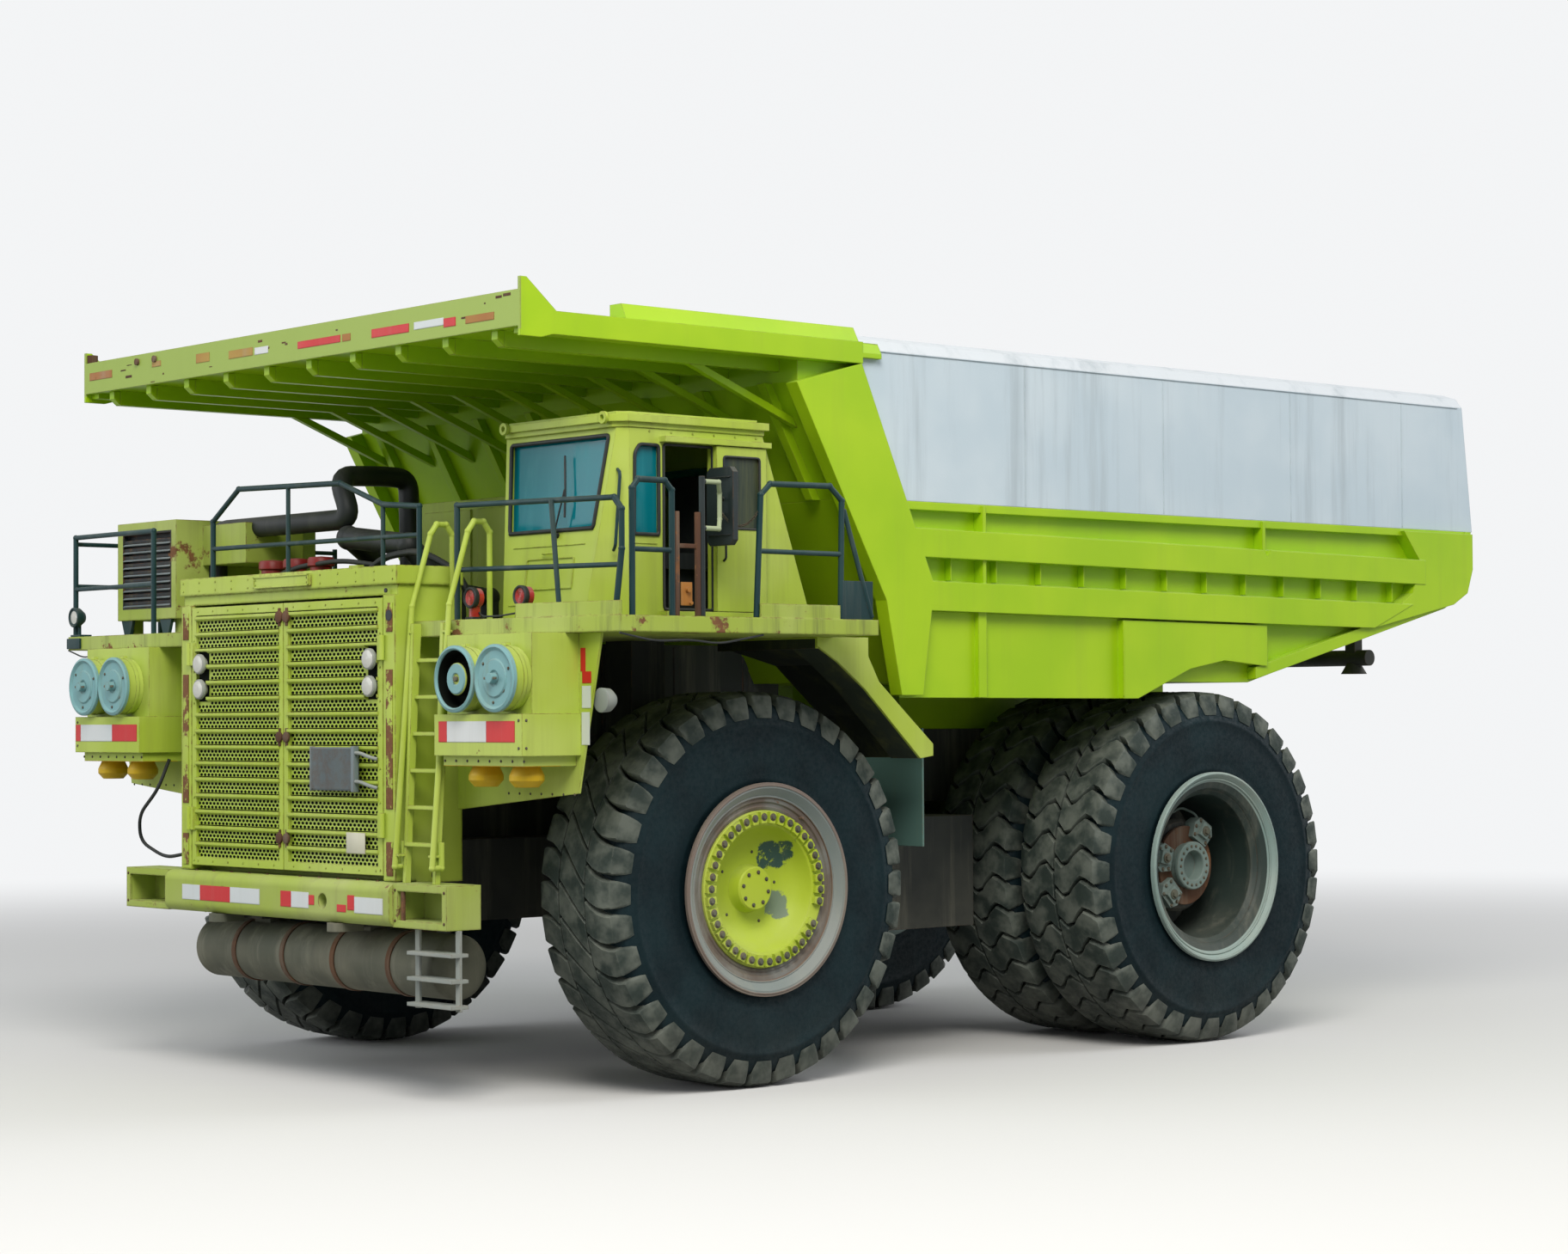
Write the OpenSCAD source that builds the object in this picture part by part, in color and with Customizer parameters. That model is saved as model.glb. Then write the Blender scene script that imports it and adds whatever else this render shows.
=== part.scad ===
// Mining water truck: a rigid two-axle haul truck whose dump body is closed into a water tank.
// Lengths are in millimetres. X points forward, Y to the truck's left, Z up.
// Inside the modules X is measured from the front axle; carry() moves the middle of the truck to X = 0.

/* [Wheels] */
// Distance between the axles
wheelbase = 5310; // [5000:10:5800]
// Tyre radius out to the lug tips
tyre_r = 1610; // [1500:5:1700]
// Width of a tyre at its widest
tyre_w = 980; // [900:5:1010]
// Width of the tread
tread_w = 860; // [780:5:880]
// Depth of the tread lugs
lug_depth = 62; // [40:1:80]
// Lugs along each edge of the tread
lug_count = 36; // [30:1:40]
// Outer radius of a rim flange
flange_r = 866; // [830:2:900]
// Radius of the seat between rim and tyre
seat_r = 700; // [690:2:720]
// Middle of a front tyre from the centre line
front_tyre_y = 2600; // [2560:5:2660]
// Middle of an outer rear tyre from the centre line
rear_tyre_y = 2780; // [2740:5:2840]
// Distance between the two tyres of a rear pair
dual_pitch = 1090; // [1070:5:1120]
// Kingpin from the centre line
kingpin_y = 1850; // [1820:5:1880]

/* [Frame] */
// Middle of a frame rail from the centre line
rail_y = 750; // [680:5:780]
// Width of a frame rail
rail_w = 350; // [280:5:400]
// Height of a frame rail
rail_h = 680; // [560:5:700]
// Top of the frame under the engine
rail_top_front = 2000; // [1950:5:2050]
// Top of the frame under the tank
rail_top_rear = 2880; // [2820:5:2900]
// Height of the bumper's lower edge
bumper_z = 1366; // [1320:2:1400]
// Height of the bumper beam
bumper_h = 347; // [300:1:360]
// Half length of the bumper beam
bumper_half = 1700; // [1600:5:1760]

/* [Front] */
// Front face of the radiator housing
grille_x = 2600; // [2560:5:2630]
// Half width of the radiator housing
housing_half = 1620; // [1580:5:1640]
// Width of the housing's walls beside the grille doors
housing_wall = 162; // [140:2:200]
// Lower edge of the grille doors
grille_z = 1760; // [1740:5:1800]
// Upper edge of the grille doors
grille_top = 3975; // [3900:5:3990]
// Slats on a grille door
slat_count = 15; // [10:1:18]
// Radius of an air cleaner drum
drum_r = 245; // [220:1:255]
// Height of the air cleaner drums
drum_z = 3310; // [3290:5:3330]

/* [Deck and cab] */
// Top of the decks
deck_z = 3780; // [3760:5:3800]
// Thickness of a deck with its edge beam
deck_t = 125; // [100:5:140]
// Half width over the decks
deck_half = 3900; // [3850:5:3950]
// Width of the walkway beside the cab
walkway = 550; // [500:5:580]
// Width of the cab
cab_w = 1560; // [1500:5:1600]
// Top of the cab walls
cab_top = 5260; // [5200:5:5300]
// Thickness of a cab wall
cab_wall = 60; // [45:1:70]
// Width of the cab door's opening
door_w = 500; // [460:5:520]
// Outer radius of a hand rail
rail_r = 24; // [18:1:28]

/* [Tank] */
// Half width over the tank's side rails
body_half = 3300; // [3290:5:3340]
// How far the side panels sit back between the rails
panel_set = 140; // [80:5:180]
// Lower edge of the white tank
tank_z = 4815; // [4790:5:4830]
// Upper edge of the tank's sides
tank_top = 6060; // [6000:5:6100]
// Rear end of the tank from the front axle
tank_rear = 9330; // [9200:5:9500]
// Reach of the canopy ahead of the front axle
canopy_x = 2610; // [2500:5:2640]
// Upper edge of the canopy's front beam
canopy_top = 6254; // [6220:2:6280]
// Ribs under the canopy
canopy_ribs = 10; // [7:1:12]

/* [Hidden] */
$fn = 48;
gap = 0.3;
clear = 12;
front_x = grille_x + 180;
mid_x = (front_x - tank_rear) / 2;
rear_x = -wheelbase;
// Shares of the lug pitch from a lug's middle to the edge of its tip and of its foot
lug_tip = 0.25;
lug_foot = 0.32;
axle_z = tyre_r * cos(lug_tip * 360 / lug_count);
// Sprung pieces are drawn for this tyre radius: they rise with the tyres' tops and sink with the axles
ride_r = 1610;
lift = max(2 * (tyre_r - ride_r), tyre_r - ride_r);
grille_half = housing_half - housing_wall - clear;
cab_y = deck_half - walkway;

// Places what turns with the wheels or carries them
module place() { translate([-mid_x, 0, 0]) children(); }

// Places what rides on the springs
module carry() { translate([-mid_x, 0, lift]) children(); }

// A profile drawn in X and Z, from one Y to another
module side(points, y0, y1) {
  translate([0, y1, 0]) rotate([90, 0, 0]) linear_extrude(y1 - y0) polygon(points);
}

// A profile drawn in Y and Z, from one X to another
module across(points, x0, x1) {
  translate([x0, 0, 0]) rotate([90, 0, 90]) linear_extrude(x1 - x0) polygon(points);
}

module box(a, b) { translate(a) cube(b - a); }

module bar(p, q, r) {
  d = q - p;
  translate(p) rotate([0, acos(d[2] / norm(d)), atan2(d[1], d[0])]) cylinder(r = r, h = norm(d));
}

// A bent tube through the given points, its stretches a touch thicker and thinner by turns
module tube(points, r) {
  for (i = [0:len(points) - 2]) bar(points[i], points[i + 1], i % 2 == 0 ? r : r * 0.94);
  for (i = [1:1:len(points) - 2]) translate(points[i]) sphere(r = r * 1.12);
}

module both() {
  children();
  mirror([0, 1, 0]) children();
}

// Turns a wheel drawn about Z, outer face up, to its place on the left of the truck
module wheel_at(x, y) { translate([x, y, axle_z]) rotate([-90, 0, 0]) children(); }

module along_y(x, y, z, r, h) { translate([x, y, z]) rotate([-90, 0, 0]) cylinder(r = r, h = h); }

module along_x(x, y, z, r, h) { translate([x, y, z]) rotate([0, 90, 0]) cylinder(r = r, h = h); }

lime = "yellowgreen";
pale = "darkkhaki";
white = "whitesmoke";
dark = "darkslategray";
rubber = "dimgray";
steel = "lightslategray";

// Tyres

// Half of a tyre's outline: [radius, half width] from the bead to the middle of the tread
tyre_half = [
  [seat_r + gap, tyre_w * 0.42],
  [seat_r + 110, tyre_w * 0.46],
  [seat_r + 260, tyre_w * 0.49],
  [seat_r + 420, tyre_w * 0.50],
  [tyre_r - 280, tyre_w * 0.49],
  [tyre_r - 130, tread_w / 2 + 20],
  [tyre_r - lug_depth - 50, tread_w / 2 - 60]
];

// Toothed outline of a ring of lugs: feet at the radius root, the first lug's middle at the angle turn
function lug_ring(root, turn) = [
  for (i = [0:lug_count - 1])
    for (edge = [[-lug_foot, root], [-lug_tip, tyre_r], [lug_tip, tyre_r], [lug_foot, root]])
      let (a = turn + (i + edge[0]) * 360 / lug_count) edge[1] * [cos(a), sin(a)]
];

module lugs(low, high, root, turn) {
  translate([0, 0, low]) linear_extrude(high - low) difference() {
    polygon(lug_ring(root, turn));
    circle(r = tyre_r - 260);
  }
}

module tyre() {
  edge = tread_w / 2;
  root = tyre_r - lug_depth - 28;
  color(rubber) {
    rotate_extrude()
      polygon(concat(tyre_half, [for (i = [len(tyre_half) - 1:-1:0]) [tyre_half[i][0], -tyre_half[i][1]]]));
    lugs(-edge, 0, root, 90);
    lugs(0, edge, root, 90 + 180 / lug_count);
  }
}

module rear_pair() {
  for (y = [rear_tyre_y, rear_tyre_y - dual_pitch]) wheel_at(rear_x, y) tyre();
}

// Rims

rim_half_w = tyre_w * 0.42;
rim_lip = 42;
hub_r = 585;
spindle_r = 210;
hub_cap_r = 178;
motor_r = 640;

module front_rim() {
  color(steel) difference() {
    union() {
      rotate_extrude() polygon(front_rim_profile());
    }
    translate([0, 0, -700]) cylinder(r = spindle_r + gap, h = 780);
  }
}

// Half section of the front rim with its hub: [radius, width from the wheel's middle]
function front_rim_profile() = [
  [0, -330], [0, 290], [hub_cap_r, 290], [hub_cap_r, 255], [hub_cap_r + 70, 215],
  [hub_r - 90, 120], [hub_r - 50, 160], [hub_r + 20, 160], [hub_r + 40, 200], [hub_r + 75, 330],
  [seat_r - 10, rim_half_w + 28], [seat_r + 60, rim_half_w + 78],
  [flange_r - 46, tyre_w / 2 + 8 + rim_lip], [flange_r, tyre_w / 2 + 8 + rim_lip],
  [flange_r, tyre_w / 2 + 20], [seat_r, rim_half_w + 10], [seat_r, -rim_half_w - 10],
  [flange_r - 20, -tyre_w / 2 - 20], [flange_r - 20, -tyre_w / 2 - 8 - rim_lip],
  [seat_r - 60, -rim_half_w - 60], [seat_r - 60, -60], [330, -60], [330, -330]
];

// Rear rim carrying both tyres of a pair: [radius, width from the middle of the pair]
dual_half = dual_pitch / 2;
dual_end = dual_half + tyre_w / 2 + 8;
rear_bore = 660;

module rear_rim() {
  color(steel) rotate_extrude() polygon([
    [rear_bore, -dual_end - 10], [flange_r - 40, -dual_end - rim_lip], [flange_r, -dual_end - rim_lip],
    [flange_r, -dual_end], [seat_r, -dual_end + 70], [seat_r, dual_end - 70], [flange_r, dual_end],
    [flange_r, dual_end + rim_lip], [flange_r - 30, dual_end + rim_lip], [flange_r - 60, dual_end],
    [rear_bore + 60, dual_end - 40], [rear_bore, dual_end - 120]
  ]);
}

module tyre_front_left() { place() wheel_at(0, front_tyre_y) tyre(); }
module tyre_front_right() { place() mirror([0, 1, 0]) wheel_at(0, front_tyre_y) tyre(); }
module tyres_rear_left() { place() rear_pair(); }
module tyres_rear_right() { place() mirror([0, 1, 0]) rear_pair(); }
module rim_front_left() { place() wheel_at(0, front_tyre_y) front_rim(); }
module rim_front_right() { place() mirror([0, 1, 0]) wheel_at(0, front_tyre_y) front_rim(); }
module rim_rear_left() { place() wheel_at(rear_x, rear_tyre_y - dual_half) rear_rim(); }
module rim_rear_right() { place() mirror([0, 1, 0]) wheel_at(rear_x, rear_tyre_y - dual_half) rear_rim(); }

// Running gear

strut_r = 200;
strut_z = axle_z + 290;
knuckle_r = 230;
arm_y = kingpin_y - strut_r - 50;

module knuckle() {
  color(steel) {
    translate([0, kingpin_y, axle_z - 360]) cylinder(r = knuckle_r, h = 650 - gap);
    along_y(0, kingpin_y, axle_z, spindle_r, front_tyre_y - kingpin_y + 60);
  }
}

module knuckle_left() { place() knuckle(); }
module knuckle_right() { place() mirror([0, 1, 0]) knuckle(); }

module front_struts() {
  place() both() color(steel) {
    translate([0, kingpin_y, strut_z]) cylinder(r = strut_r, h = 1200 + lift / 2);
    box([-180, arm_y, 2150 + lift], [180, kingpin_y, 2700 + lift]);
  }
}

rail_step = 1700;

module frame() {
  rail_in = rail_y - rail_w / 2;
  rail_out = rail_y + rail_w / 2;
  carry() color(dark) {
    both() side([
      [2450, rail_top_front - rail_h], [2450, rail_step], [1900, rail_step], [1850, rail_top_front],
      [-2300, rail_top_front],
      [-3500, rail_top_rear], [-7400, rail_top_rear], [-7400, rail_top_rear - rail_h],
      [-3700, rail_top_rear - rail_h], [-2500, rail_top_front - rail_h]
    ], rail_in, rail_out);
    box([2150, -rail_in - 20, 1380], [2410, rail_in + 20, 1660]);
    box([-2100, -rail_in - 20, 1400], [-1840, rail_in + 20, 1900]);
    for (x = [-4100, -7300]) box([x, -rail_in - 20, 2300], [x + 300, rail_in + 20, 2800]);
    box([-3900, -220, 1400], [-3600, 220, 2420]);
    // Arms out to the front struts, with posts that carry the decks
    both() across([[rail_in + 20, 1990], [arm_y - 500, 1990], [arm_y, 2150], [arm_y, 2700],
      [rail_in + 20, 2700]], -200, 200);
    both() box([-180, arm_y - 350, 2690], [180, arm_y, deck_z - deck_t]);
  }
}

motor_y = 1000;

module rear_axle() {
  place() color(dark) {
    along_y(rear_x, -motor_y, axle_z, 560, 2 * motor_y);
    box([rear_x + 300, -240, axle_z - 230], [-3900, 240, axle_z + 230]);
    both() box([rear_x - 960, 600, axle_z - 190], [rear_x - 380, 900, axle_z + 30]);
  }
}

module rear_struts() {
  place() both() color(steel) translate([rear_x - 800, rail_y, axle_z + 30])
    cylinder(r = 130, h = rail_top_rear - rail_h + lift - axle_z - 30 - gap);
}

module wheel_motors() {
  place() both() color(dark) {
    along_y(rear_x, motor_y, axle_z, motor_r, 1500);
    for (y = [1450, 2300]) along_y(rear_x, y, axle_z, rear_bore - gap, 100);
    along_y(rear_x, 2490, axle_z, 150, 220);
    along_y(rear_x, 2560, axle_z, 400, 40);
    // Brake calipers around the disc
    for (a = [-50, 150, 215]) translate([rear_x, 2490, axle_z]) rotate([0, a, 0]) {
      translate([270, 0, -130]) cube([210, 150, 260]);
      translate([310, 150, -100]) cube([130, 40, 200]);
    }
  }
}

module fuel_tank() { carry() color(dark) side_tank(); }
module oil_tank() { carry() mirror([0, 1, 0]) color(dark) side_tank(); }

module side_tank() {
  box([rear_x + tyre_r + 180, rail_y + rail_w / 2, 1100], [-tyre_r - 590, 1950, 2100]);
}

module air_tank() {
  carry() color(steel) {
    along_y(2230, -1550, 1040, 260, 3500);
    for (y = [-1550, 1950]) translate([2230, y, 1040]) scale([1, 0.4, 1]) sphere(r = 259);
    for (y = [-rail_y, rail_y]) box([2130, y - 120, 1100], [2330, y + 120, rail_top_front - rail_h]);
  }
}

engine_top = 3450;

module engine() {
  carry() color(dark) {
    box([-1300, -540, 1450], [1700, 540, engine_top]);
    box([-900, -900, 2800], [1500, 900, engine_top]);
    for (x = [-1000, 1000]) box([x, -rail_y + rail_w / 2, 1600], [x + 200, rail_y - rail_w / 2, 1800]);
  }
}

// Front

module front_bumper() {
  r = 80;
  carry() color(lime) {
    difference() {
      union() {
        box([2450, -bumper_half, bumper_z], [2720 - r, bumper_half, bumper_z + bumper_h]);
        box([2500, -bumper_half, bumper_z + r], [2720, bumper_half, bumper_z + bumper_h - r]);
        for (z = [bumper_z + r, bumper_z + bumper_h - r])
          along_y(2720 - r, -bumper_half, z, r, 2 * bumper_half);
      }
      for (y = [-760, 760]) along_x(2600, y, bumper_z + bumper_h / 2, 60, 200);
    }
    both() difference() {
      box([2350, bumper_half, bumper_z], [2680, 2420, bumper_z + bumper_h]);
      box([2420, bumper_half + 60, bumper_z + 60], [2690, 2360, bumper_z + bumper_h - 60]);
    }
  }
}

module bumper_ladder() {
  carry() color(steel) {
    for (y = [1860, 2400]) box([2560, y, 740], [2580, y + 60, bumper_z]);
    for (z = [760, 960, 1160]) box([2500, 1860, z], [2660, 2460, z + 30]);
  }
}

eye_r = 45;

module tow_eyes() {
  carry() both() color(steel) difference() {
    union() {
      box([2480, 800, bumper_z - 70], [2650, 1000, bumper_z]);
      translate([2650, 900, bumper_z - 70]) cylinder(r = 100, h = 70);
    }
    translate([2650, 900, bumper_z - 90]) cylinder(r = eye_r, h = 110);
  }
}

module radiator_housing() {
  carry() color(pale) {
    both() box([1950, grille_half + clear, 1720], [grille_x, housing_half, 3995]);
    box([1950, -housing_half, 3995], [grille_x - 30, housing_half, 4080]);
    box([1950, -housing_half - 25, 4080], [grille_x, housing_half + 25, 4230]);
    box([grille_x, -420, 4105], [grille_x + 25, 420, 4205]);
    box([1950, -housing_half, rail_step], [2400, housing_half, 1750]);
  }
}

module radiator_core() {
  carry() color(dark) box([2050, -grille_half - clear, 1750], [2380, grille_half + clear, 3995]);
}

lamp_y = grille_half - 156;
lamp_w = 84;
lamp_z = 3270;
lamp_pitch = 217;
hinge_r = 22;
hinge_x = grille_x + hinge_r + gap;
hinge_y = grille_half + clear + 10;

module grille_door() {
  edge = 70;
  pitch = (grille_top - grille_z - 2 * edge) / slat_count;
  color(pale) {
    difference() {
      box([grille_x - 50, 6, grille_z], [grille_x, grille_half, grille_top]);
      box([grille_x - 60, edge, grille_z + edge], [grille_x + 10, grille_half - edge, grille_top - edge]);
    }
    difference() {
      for (i = [0:slat_count - 1]) translate([0, 0, grille_z + edge + i * pitch]) {
        box([grille_x - 40, edge - 10, 0], [grille_x - 25, grille_half - edge + 10, pitch * 0.66]);
        side([[grille_x - 40, pitch * 0.66], [grille_x - 10, pitch * 0.66], [grille_x + 12, pitch * 0.76],
          [grille_x + 12, pitch * 0.94], [grille_x - 40, pitch * 0.94]], edge - 10, grille_half - edge + 10);
      }
      // Recess of the two lamps
      box([grille_x - 28, lamp_y - lamp_w, lamp_z - 110],
        [grille_x + 20, lamp_y + lamp_w, lamp_z + lamp_pitch + 110]);
    }
    box([grille_x - 45, lamp_y - lamp_w - 10, lamp_z - 120],
      [grille_x - 28, lamp_y + lamp_w, lamp_z + lamp_pitch + 120]);
    for (z = [grille_z + 300, grille_top - 500]) {
      translate([hinge_x, hinge_y, z]) cylinder(r = hinge_r, h = 200);
      box([grille_x - 5, grille_half - 60, z], [grille_x + 10, grille_half - 6, z + 200]);
      box([grille_x + 1, grille_half - 46, z], [hinge_x, hinge_y, z + 200]);
    }
  }
}

module grille_door_left() { carry() grille_door(); }
module grille_door_right() { carry() mirror([0, 1, 0]) grille_door(); }

module lamp_pair() {
  color(white) for (z = [lamp_z, lamp_z + lamp_pitch])
    translate([grille_x - 28, lamp_y, z]) rotate([0, 90, 0])
      rotate_extrude() polygon([[0, 0], [55, 0], [76, 30], [76, 66], [70, 74], [40, 80], [0, 82]]);
}

module headlamps_left() { carry() lamp_pair(); }
module headlamps_right() { carry() mirror([0, 1, 0]) lamp_pair(); }

drum_ys = [housing_half + 970, housing_half + 1490];
plenum_x = 2550;
plenum_y = housing_half + 640;
plenum_w = 1090;

// Half sections of an air cleaner drum, with its lid and with the lid gone: [radius, length]
drum_len = front_x - plenum_x;
drum_wall = [[0, 0], [drum_r, 0], [drum_r, 140], [drum_r + 14, 146], [drum_r + 14, 176], [drum_r - 10, 188]];
lidded = concat(drum_wall, [[drum_r - 32, 168], [150, 168], [140, 180], [62, 180], [52, 168], [40, 168],
  [40, drum_len], [0, drum_len]]);
lidless = concat(drum_wall, [[drum_r - 22, 174], [drum_r - 22, 30], [125, 30], [125, 146], [112, 160],
  [48, 160], [36, 146], [0, 146]]);

module drum(y, section) {
  translate([plenum_x, y, drum_z]) rotate([0, 90, 0]) rotate_extrude() polygon(section);
}

module air_cleaners() {
  carry() color(white) {
    drum(drum_ys[0], lidless);
    drum(drum_ys[1], lidded);
    for (y = drum_ys) drum(-y, lidded);
  }
}

module air_cleaner_boxes() {
  low = deck_z - deck_t;
  carry() both() color(pale) {
    box([2100, plenum_y, 2990], [plenum_x, plenum_y + plenum_w, low]);
    box([2100, plenum_y - 20, 2720], [2660, plenum_y + plenum_w + 20, 3040]);
    box([2100, plenum_y + 20, 2640], [2600, plenum_y + plenum_w - 40, 2720]);
    for (y = drum_ys) translate([2420, y, 2480]) rotate_extrude()
      polygon([[0, 0], [90, 0], [135, 50], [135, 90], [100, 165], [0, 165]]);
    across([[housing_half + 150, 2280], [deck_half - 560, 2430], [deck_half - 270, low],
      [housing_half + 150, low]], 2080, 2100);
  }
}

// Decks and what stands on them

deck_rear = -520;
deck_front = 2440;
deck_corner = 2130;
landing_y = housing_half + 590;
kick_h = 110;

// Front edge of the left deck: X at a Y
function deck_edge(y) =
  deck_front - max(0, y - landing_y) * (deck_front - deck_corner) / (deck_half - landing_y);

module deck_plan(corner) {
  points = [[deck_rear, 1000], [1950, 1000], [1950, housing_half], [deck_front, housing_half],
    [deck_front, landing_y], [corner, deck_half], [deck_rear, deck_half]];
  translate([0, 0, deck_z - deck_t]) linear_extrude(deck_t) polygon(points);
}

// Upright plate along the deck's front edge
module kick_plate(y0, y1) {
  x0 = deck_edge(y0) - 10;
  x1 = deck_edge(y1) - 10;
  translate([0, 0, deck_z]) linear_extrude(kick_h)
    polygon([[x0 - 20, y0], [x0, y0], [x1, y1], [x1 - 20, y1]]);
}

module deck_left() {
  carry() color(pale) {
    deck_plan(deck_corner);
    kick_plate(landing_y + 620, deck_half - 20);
    box([-110, deck_half - 22, deck_z], [730, deck_half - 6, deck_z + kick_h]);
  }
}

module deck_right() { carry() mirror([0, 1, 0]) color(pale) deck_plan(deck_front); }

module deck_lamps() {
  carry() color("firebrick") for (y = [landing_y + 110, landing_y + 630]) {
    x = deck_edge(y);
    box([x - 120, y - 30, deck_z], [x - 60, y + 30, deck_z + 110]);
    along_x(x - 130, y, deck_z + 170, 75, 80);
  }
}

rail_edge = deck_half - 50;
rail_top = deck_z + 1080;
rail_mid = deck_z + 500;

module hand_rails_left() {
  thin = rail_r * 0.85;
  front = deck_edge(landing_y) - 140;
  corner = deck_edge(rail_edge) - 60;
  middle = (front + corner) / 2;
  start = landing_y - 160;
  post = landing_y + 1000;
  front_top = deck_z + 910;
  carry() color(dark) {
    // Along the front edge of the deck
    tube([[front, start, deck_z], [front, start, front_top], [corner, rail_edge - 90, front_top - 20],
      [corner, rail_edge, front_top - 110], [corner, rail_edge, deck_z + 500],
      [corner, rail_edge - 80, deck_z + 4]], rail_r);
    bar([front, start, deck_z + 400], [corner, rail_edge - 20, deck_z + 380], thin);
    bar([middle + 4, post - 80, front_top - 10], [middle - 14, post, deck_z + 2], thin);
    // Beside the cab's front quarter
    tube([[1980, rail_edge, deck_z], [1980, rail_edge, rail_top - 120], [1920, rail_edge, rail_top - 50],
      [1660, rail_edge, rail_top - 50], [1590, rail_edge, rail_top - 120],
      [1590, rail_edge, deck_z]], rail_r);
    bar([1980, rail_edge, rail_mid], [1590, rail_edge, rail_mid], thin);
    // Behind the gate
    tube([[740, rail_edge, deck_z + 2], [690, rail_edge, rail_top - 120], [590, rail_edge, rail_top - 30],
      [-40, rail_edge, rail_top - 20], [-170, rail_edge, rail_top - 130],
      [-150, rail_edge, deck_z + 1]], rail_r);
    bar([720, rail_edge, rail_mid + 20], [-160, rail_edge, rail_mid + 20], thin);
    bar([-190, rail_edge, rail_top - 200], [-490, rail_edge, deck_z + 20], thin);
    box([-500, rail_edge - 6, deck_z], [-160, rail_edge + 6, deck_z + 310]);
  }
}

module hand_rails_front() {
  x = grille_x - 280;
  low = 4230;
  wide = housing_half - 60;
  carry() color(dark) {
    tube([[x, -wide, low], [x, -wide, 4740], [x, -1140, 5000], [x, 430, 4960], [x, 1050, 4750],
      [x, wide, 4710], [x, wide, low]], rail_r);
    bar([x, -wide, 4500], [x, wide, 4480], rail_r * 0.85);
    for (post = [[-360, 4970], [1050, 4740]])
      bar([x, post[0], low], [x, post[0], post[1]], rail_r * 0.8);
  }
}

module hand_rails_right() {
  top = 4700;
  thin = rail_r * 0.85;
  front = deck_front - 50;
  start = 1400 - rail_edge;
  carry() color(dark) {
    tube([[front, start, deck_z], [front, start, top], [front, -rail_edge, top], [front, -rail_edge, deck_z]],
      rail_r);
    bar([front, start, 4220], [front, -rail_edge, 4220], thin);
    bar([front, -rail_edge, top - 60], [-460, -rail_edge, top - 60], thin);
    bar([front, -rail_edge, 4250], [-460, -rail_edge, 4250], thin);
    for (x = [-460, 500, 1500]) bar([x, -rail_edge, deck_z], [x, -rail_edge, top - 20], rail_r);
  }
}

ladder_y = housing_half + 100;

// The ladder leans back: X of its front at a height
function ladder_x(z) = 2660 - (z - bumper_z - bumper_h) * 0.075;

module boarding_ladder() {
  low = bumper_z + bumper_h;
  top = deck_z - 20;
  foot = low + 130;
  carry() color(pale) {
    for (y = [ladder_y, ladder_y + 400])
      side([[ladder_x(low) - 110, low], [ladder_x(low) - 60, low], [ladder_x(top) + 10, top],
        [deck_front, top], [deck_front, deck_z - deck_t], [ladder_x(deck_z) - 60, deck_z - deck_t]],
        y, y + 40);
    for (z = [low + 290:290:low + 1740]) translate([ladder_x(z) - 110, ladder_y + 20, z]) cube([70, 400, 30]);
    // Hand rails, hooked in at the foot and bent over the deck's edge
    for (y = [ladder_y - 32, ladder_y + 472]) {
      tube([[ladder_x(foot) - 90, y, foot + 200], [ladder_x(foot) - 90, y, foot], [ladder_x(foot), y, foot],
        [deck_front + 40, y, deck_z + 120], [deck_front - 140, y, 4480], [deck_front - 200, y, 4560],
        [deck_front - 290, y, 4560], [deck_front - 350, y, 4480], [deck_front - 350, y, deck_z]], rail_r);
      for (z = [foot + 100, top - 60])
        box([ladder_x(z) - 60, min(y, ladder_y + 420), z - 20],
          [ladder_x(z) + 10, max(y, ladder_y + 20), z]);
    }
  }
}

flap_x = tyre_r + 450;

// Lower edge of the guard's outer part and of its inner part, which a steered tyre passes under: [X, Z]
guard_outer = [[-350, 3580], [-580, 3450], [-880, 3230], [-1510, 2650]];
guard_inner = [[-350, 3600], [-1000, 3440], [-1520, 3010], [-1800, 2650]];

// The same edge moved up, from its end back to its start
function raised(points, by) = [for (i = [len(points) - 1:-1:0]) points[i] + by];

module mudguards() {
  low = deck_z - deck_t;
  split = panel_y - 160;
  sheet = [-14, 20];
  carry() both() color(pale) {
    side(concat(guard_outer, raised(guard_outer, sheet)), split, cab_y);
    side(concat(guard_inner, raised(guard_inner, sheet)), 2100, split);
    side(concat(guard_outer, raised(guard_inner, sheet)), split - 8, split + 8);
    // Edge plate, hung from the deck
    side(concat(guard_outer, [[-1660, 2670], [-1660, 2770], [-1040, 3290], [-920, 3500], [-920, low],
      [-350, low]]), cab_y - 20, cab_y);
    box([-420, 2100, 3560], [-350, cab_y - 10, low]);
    box([-flap_x - 20, 1700, 1880], [-flap_x, 2800, 2900]);
    box([-flap_x - 140, 1750, 2000], [-flap_x - 20, 1850, 2090]);
  }
}

// Cab: [X, Z] corners of its side
cab_side = [[1850, deck_z], [1670, cab_top], [230, cab_top], [-290, deck_z]];
cab_hollow = [[1850 - cab_wall - 8, deck_z + cab_wall], [1670 - cab_wall, cab_top + 1],
  [230 + cab_wall, cab_top + 1], [-290 + cab_wall + 25, deck_z + cab_wall]];
cab_in = cab_y - cab_w;
cab_bevel = 1600;

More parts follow.
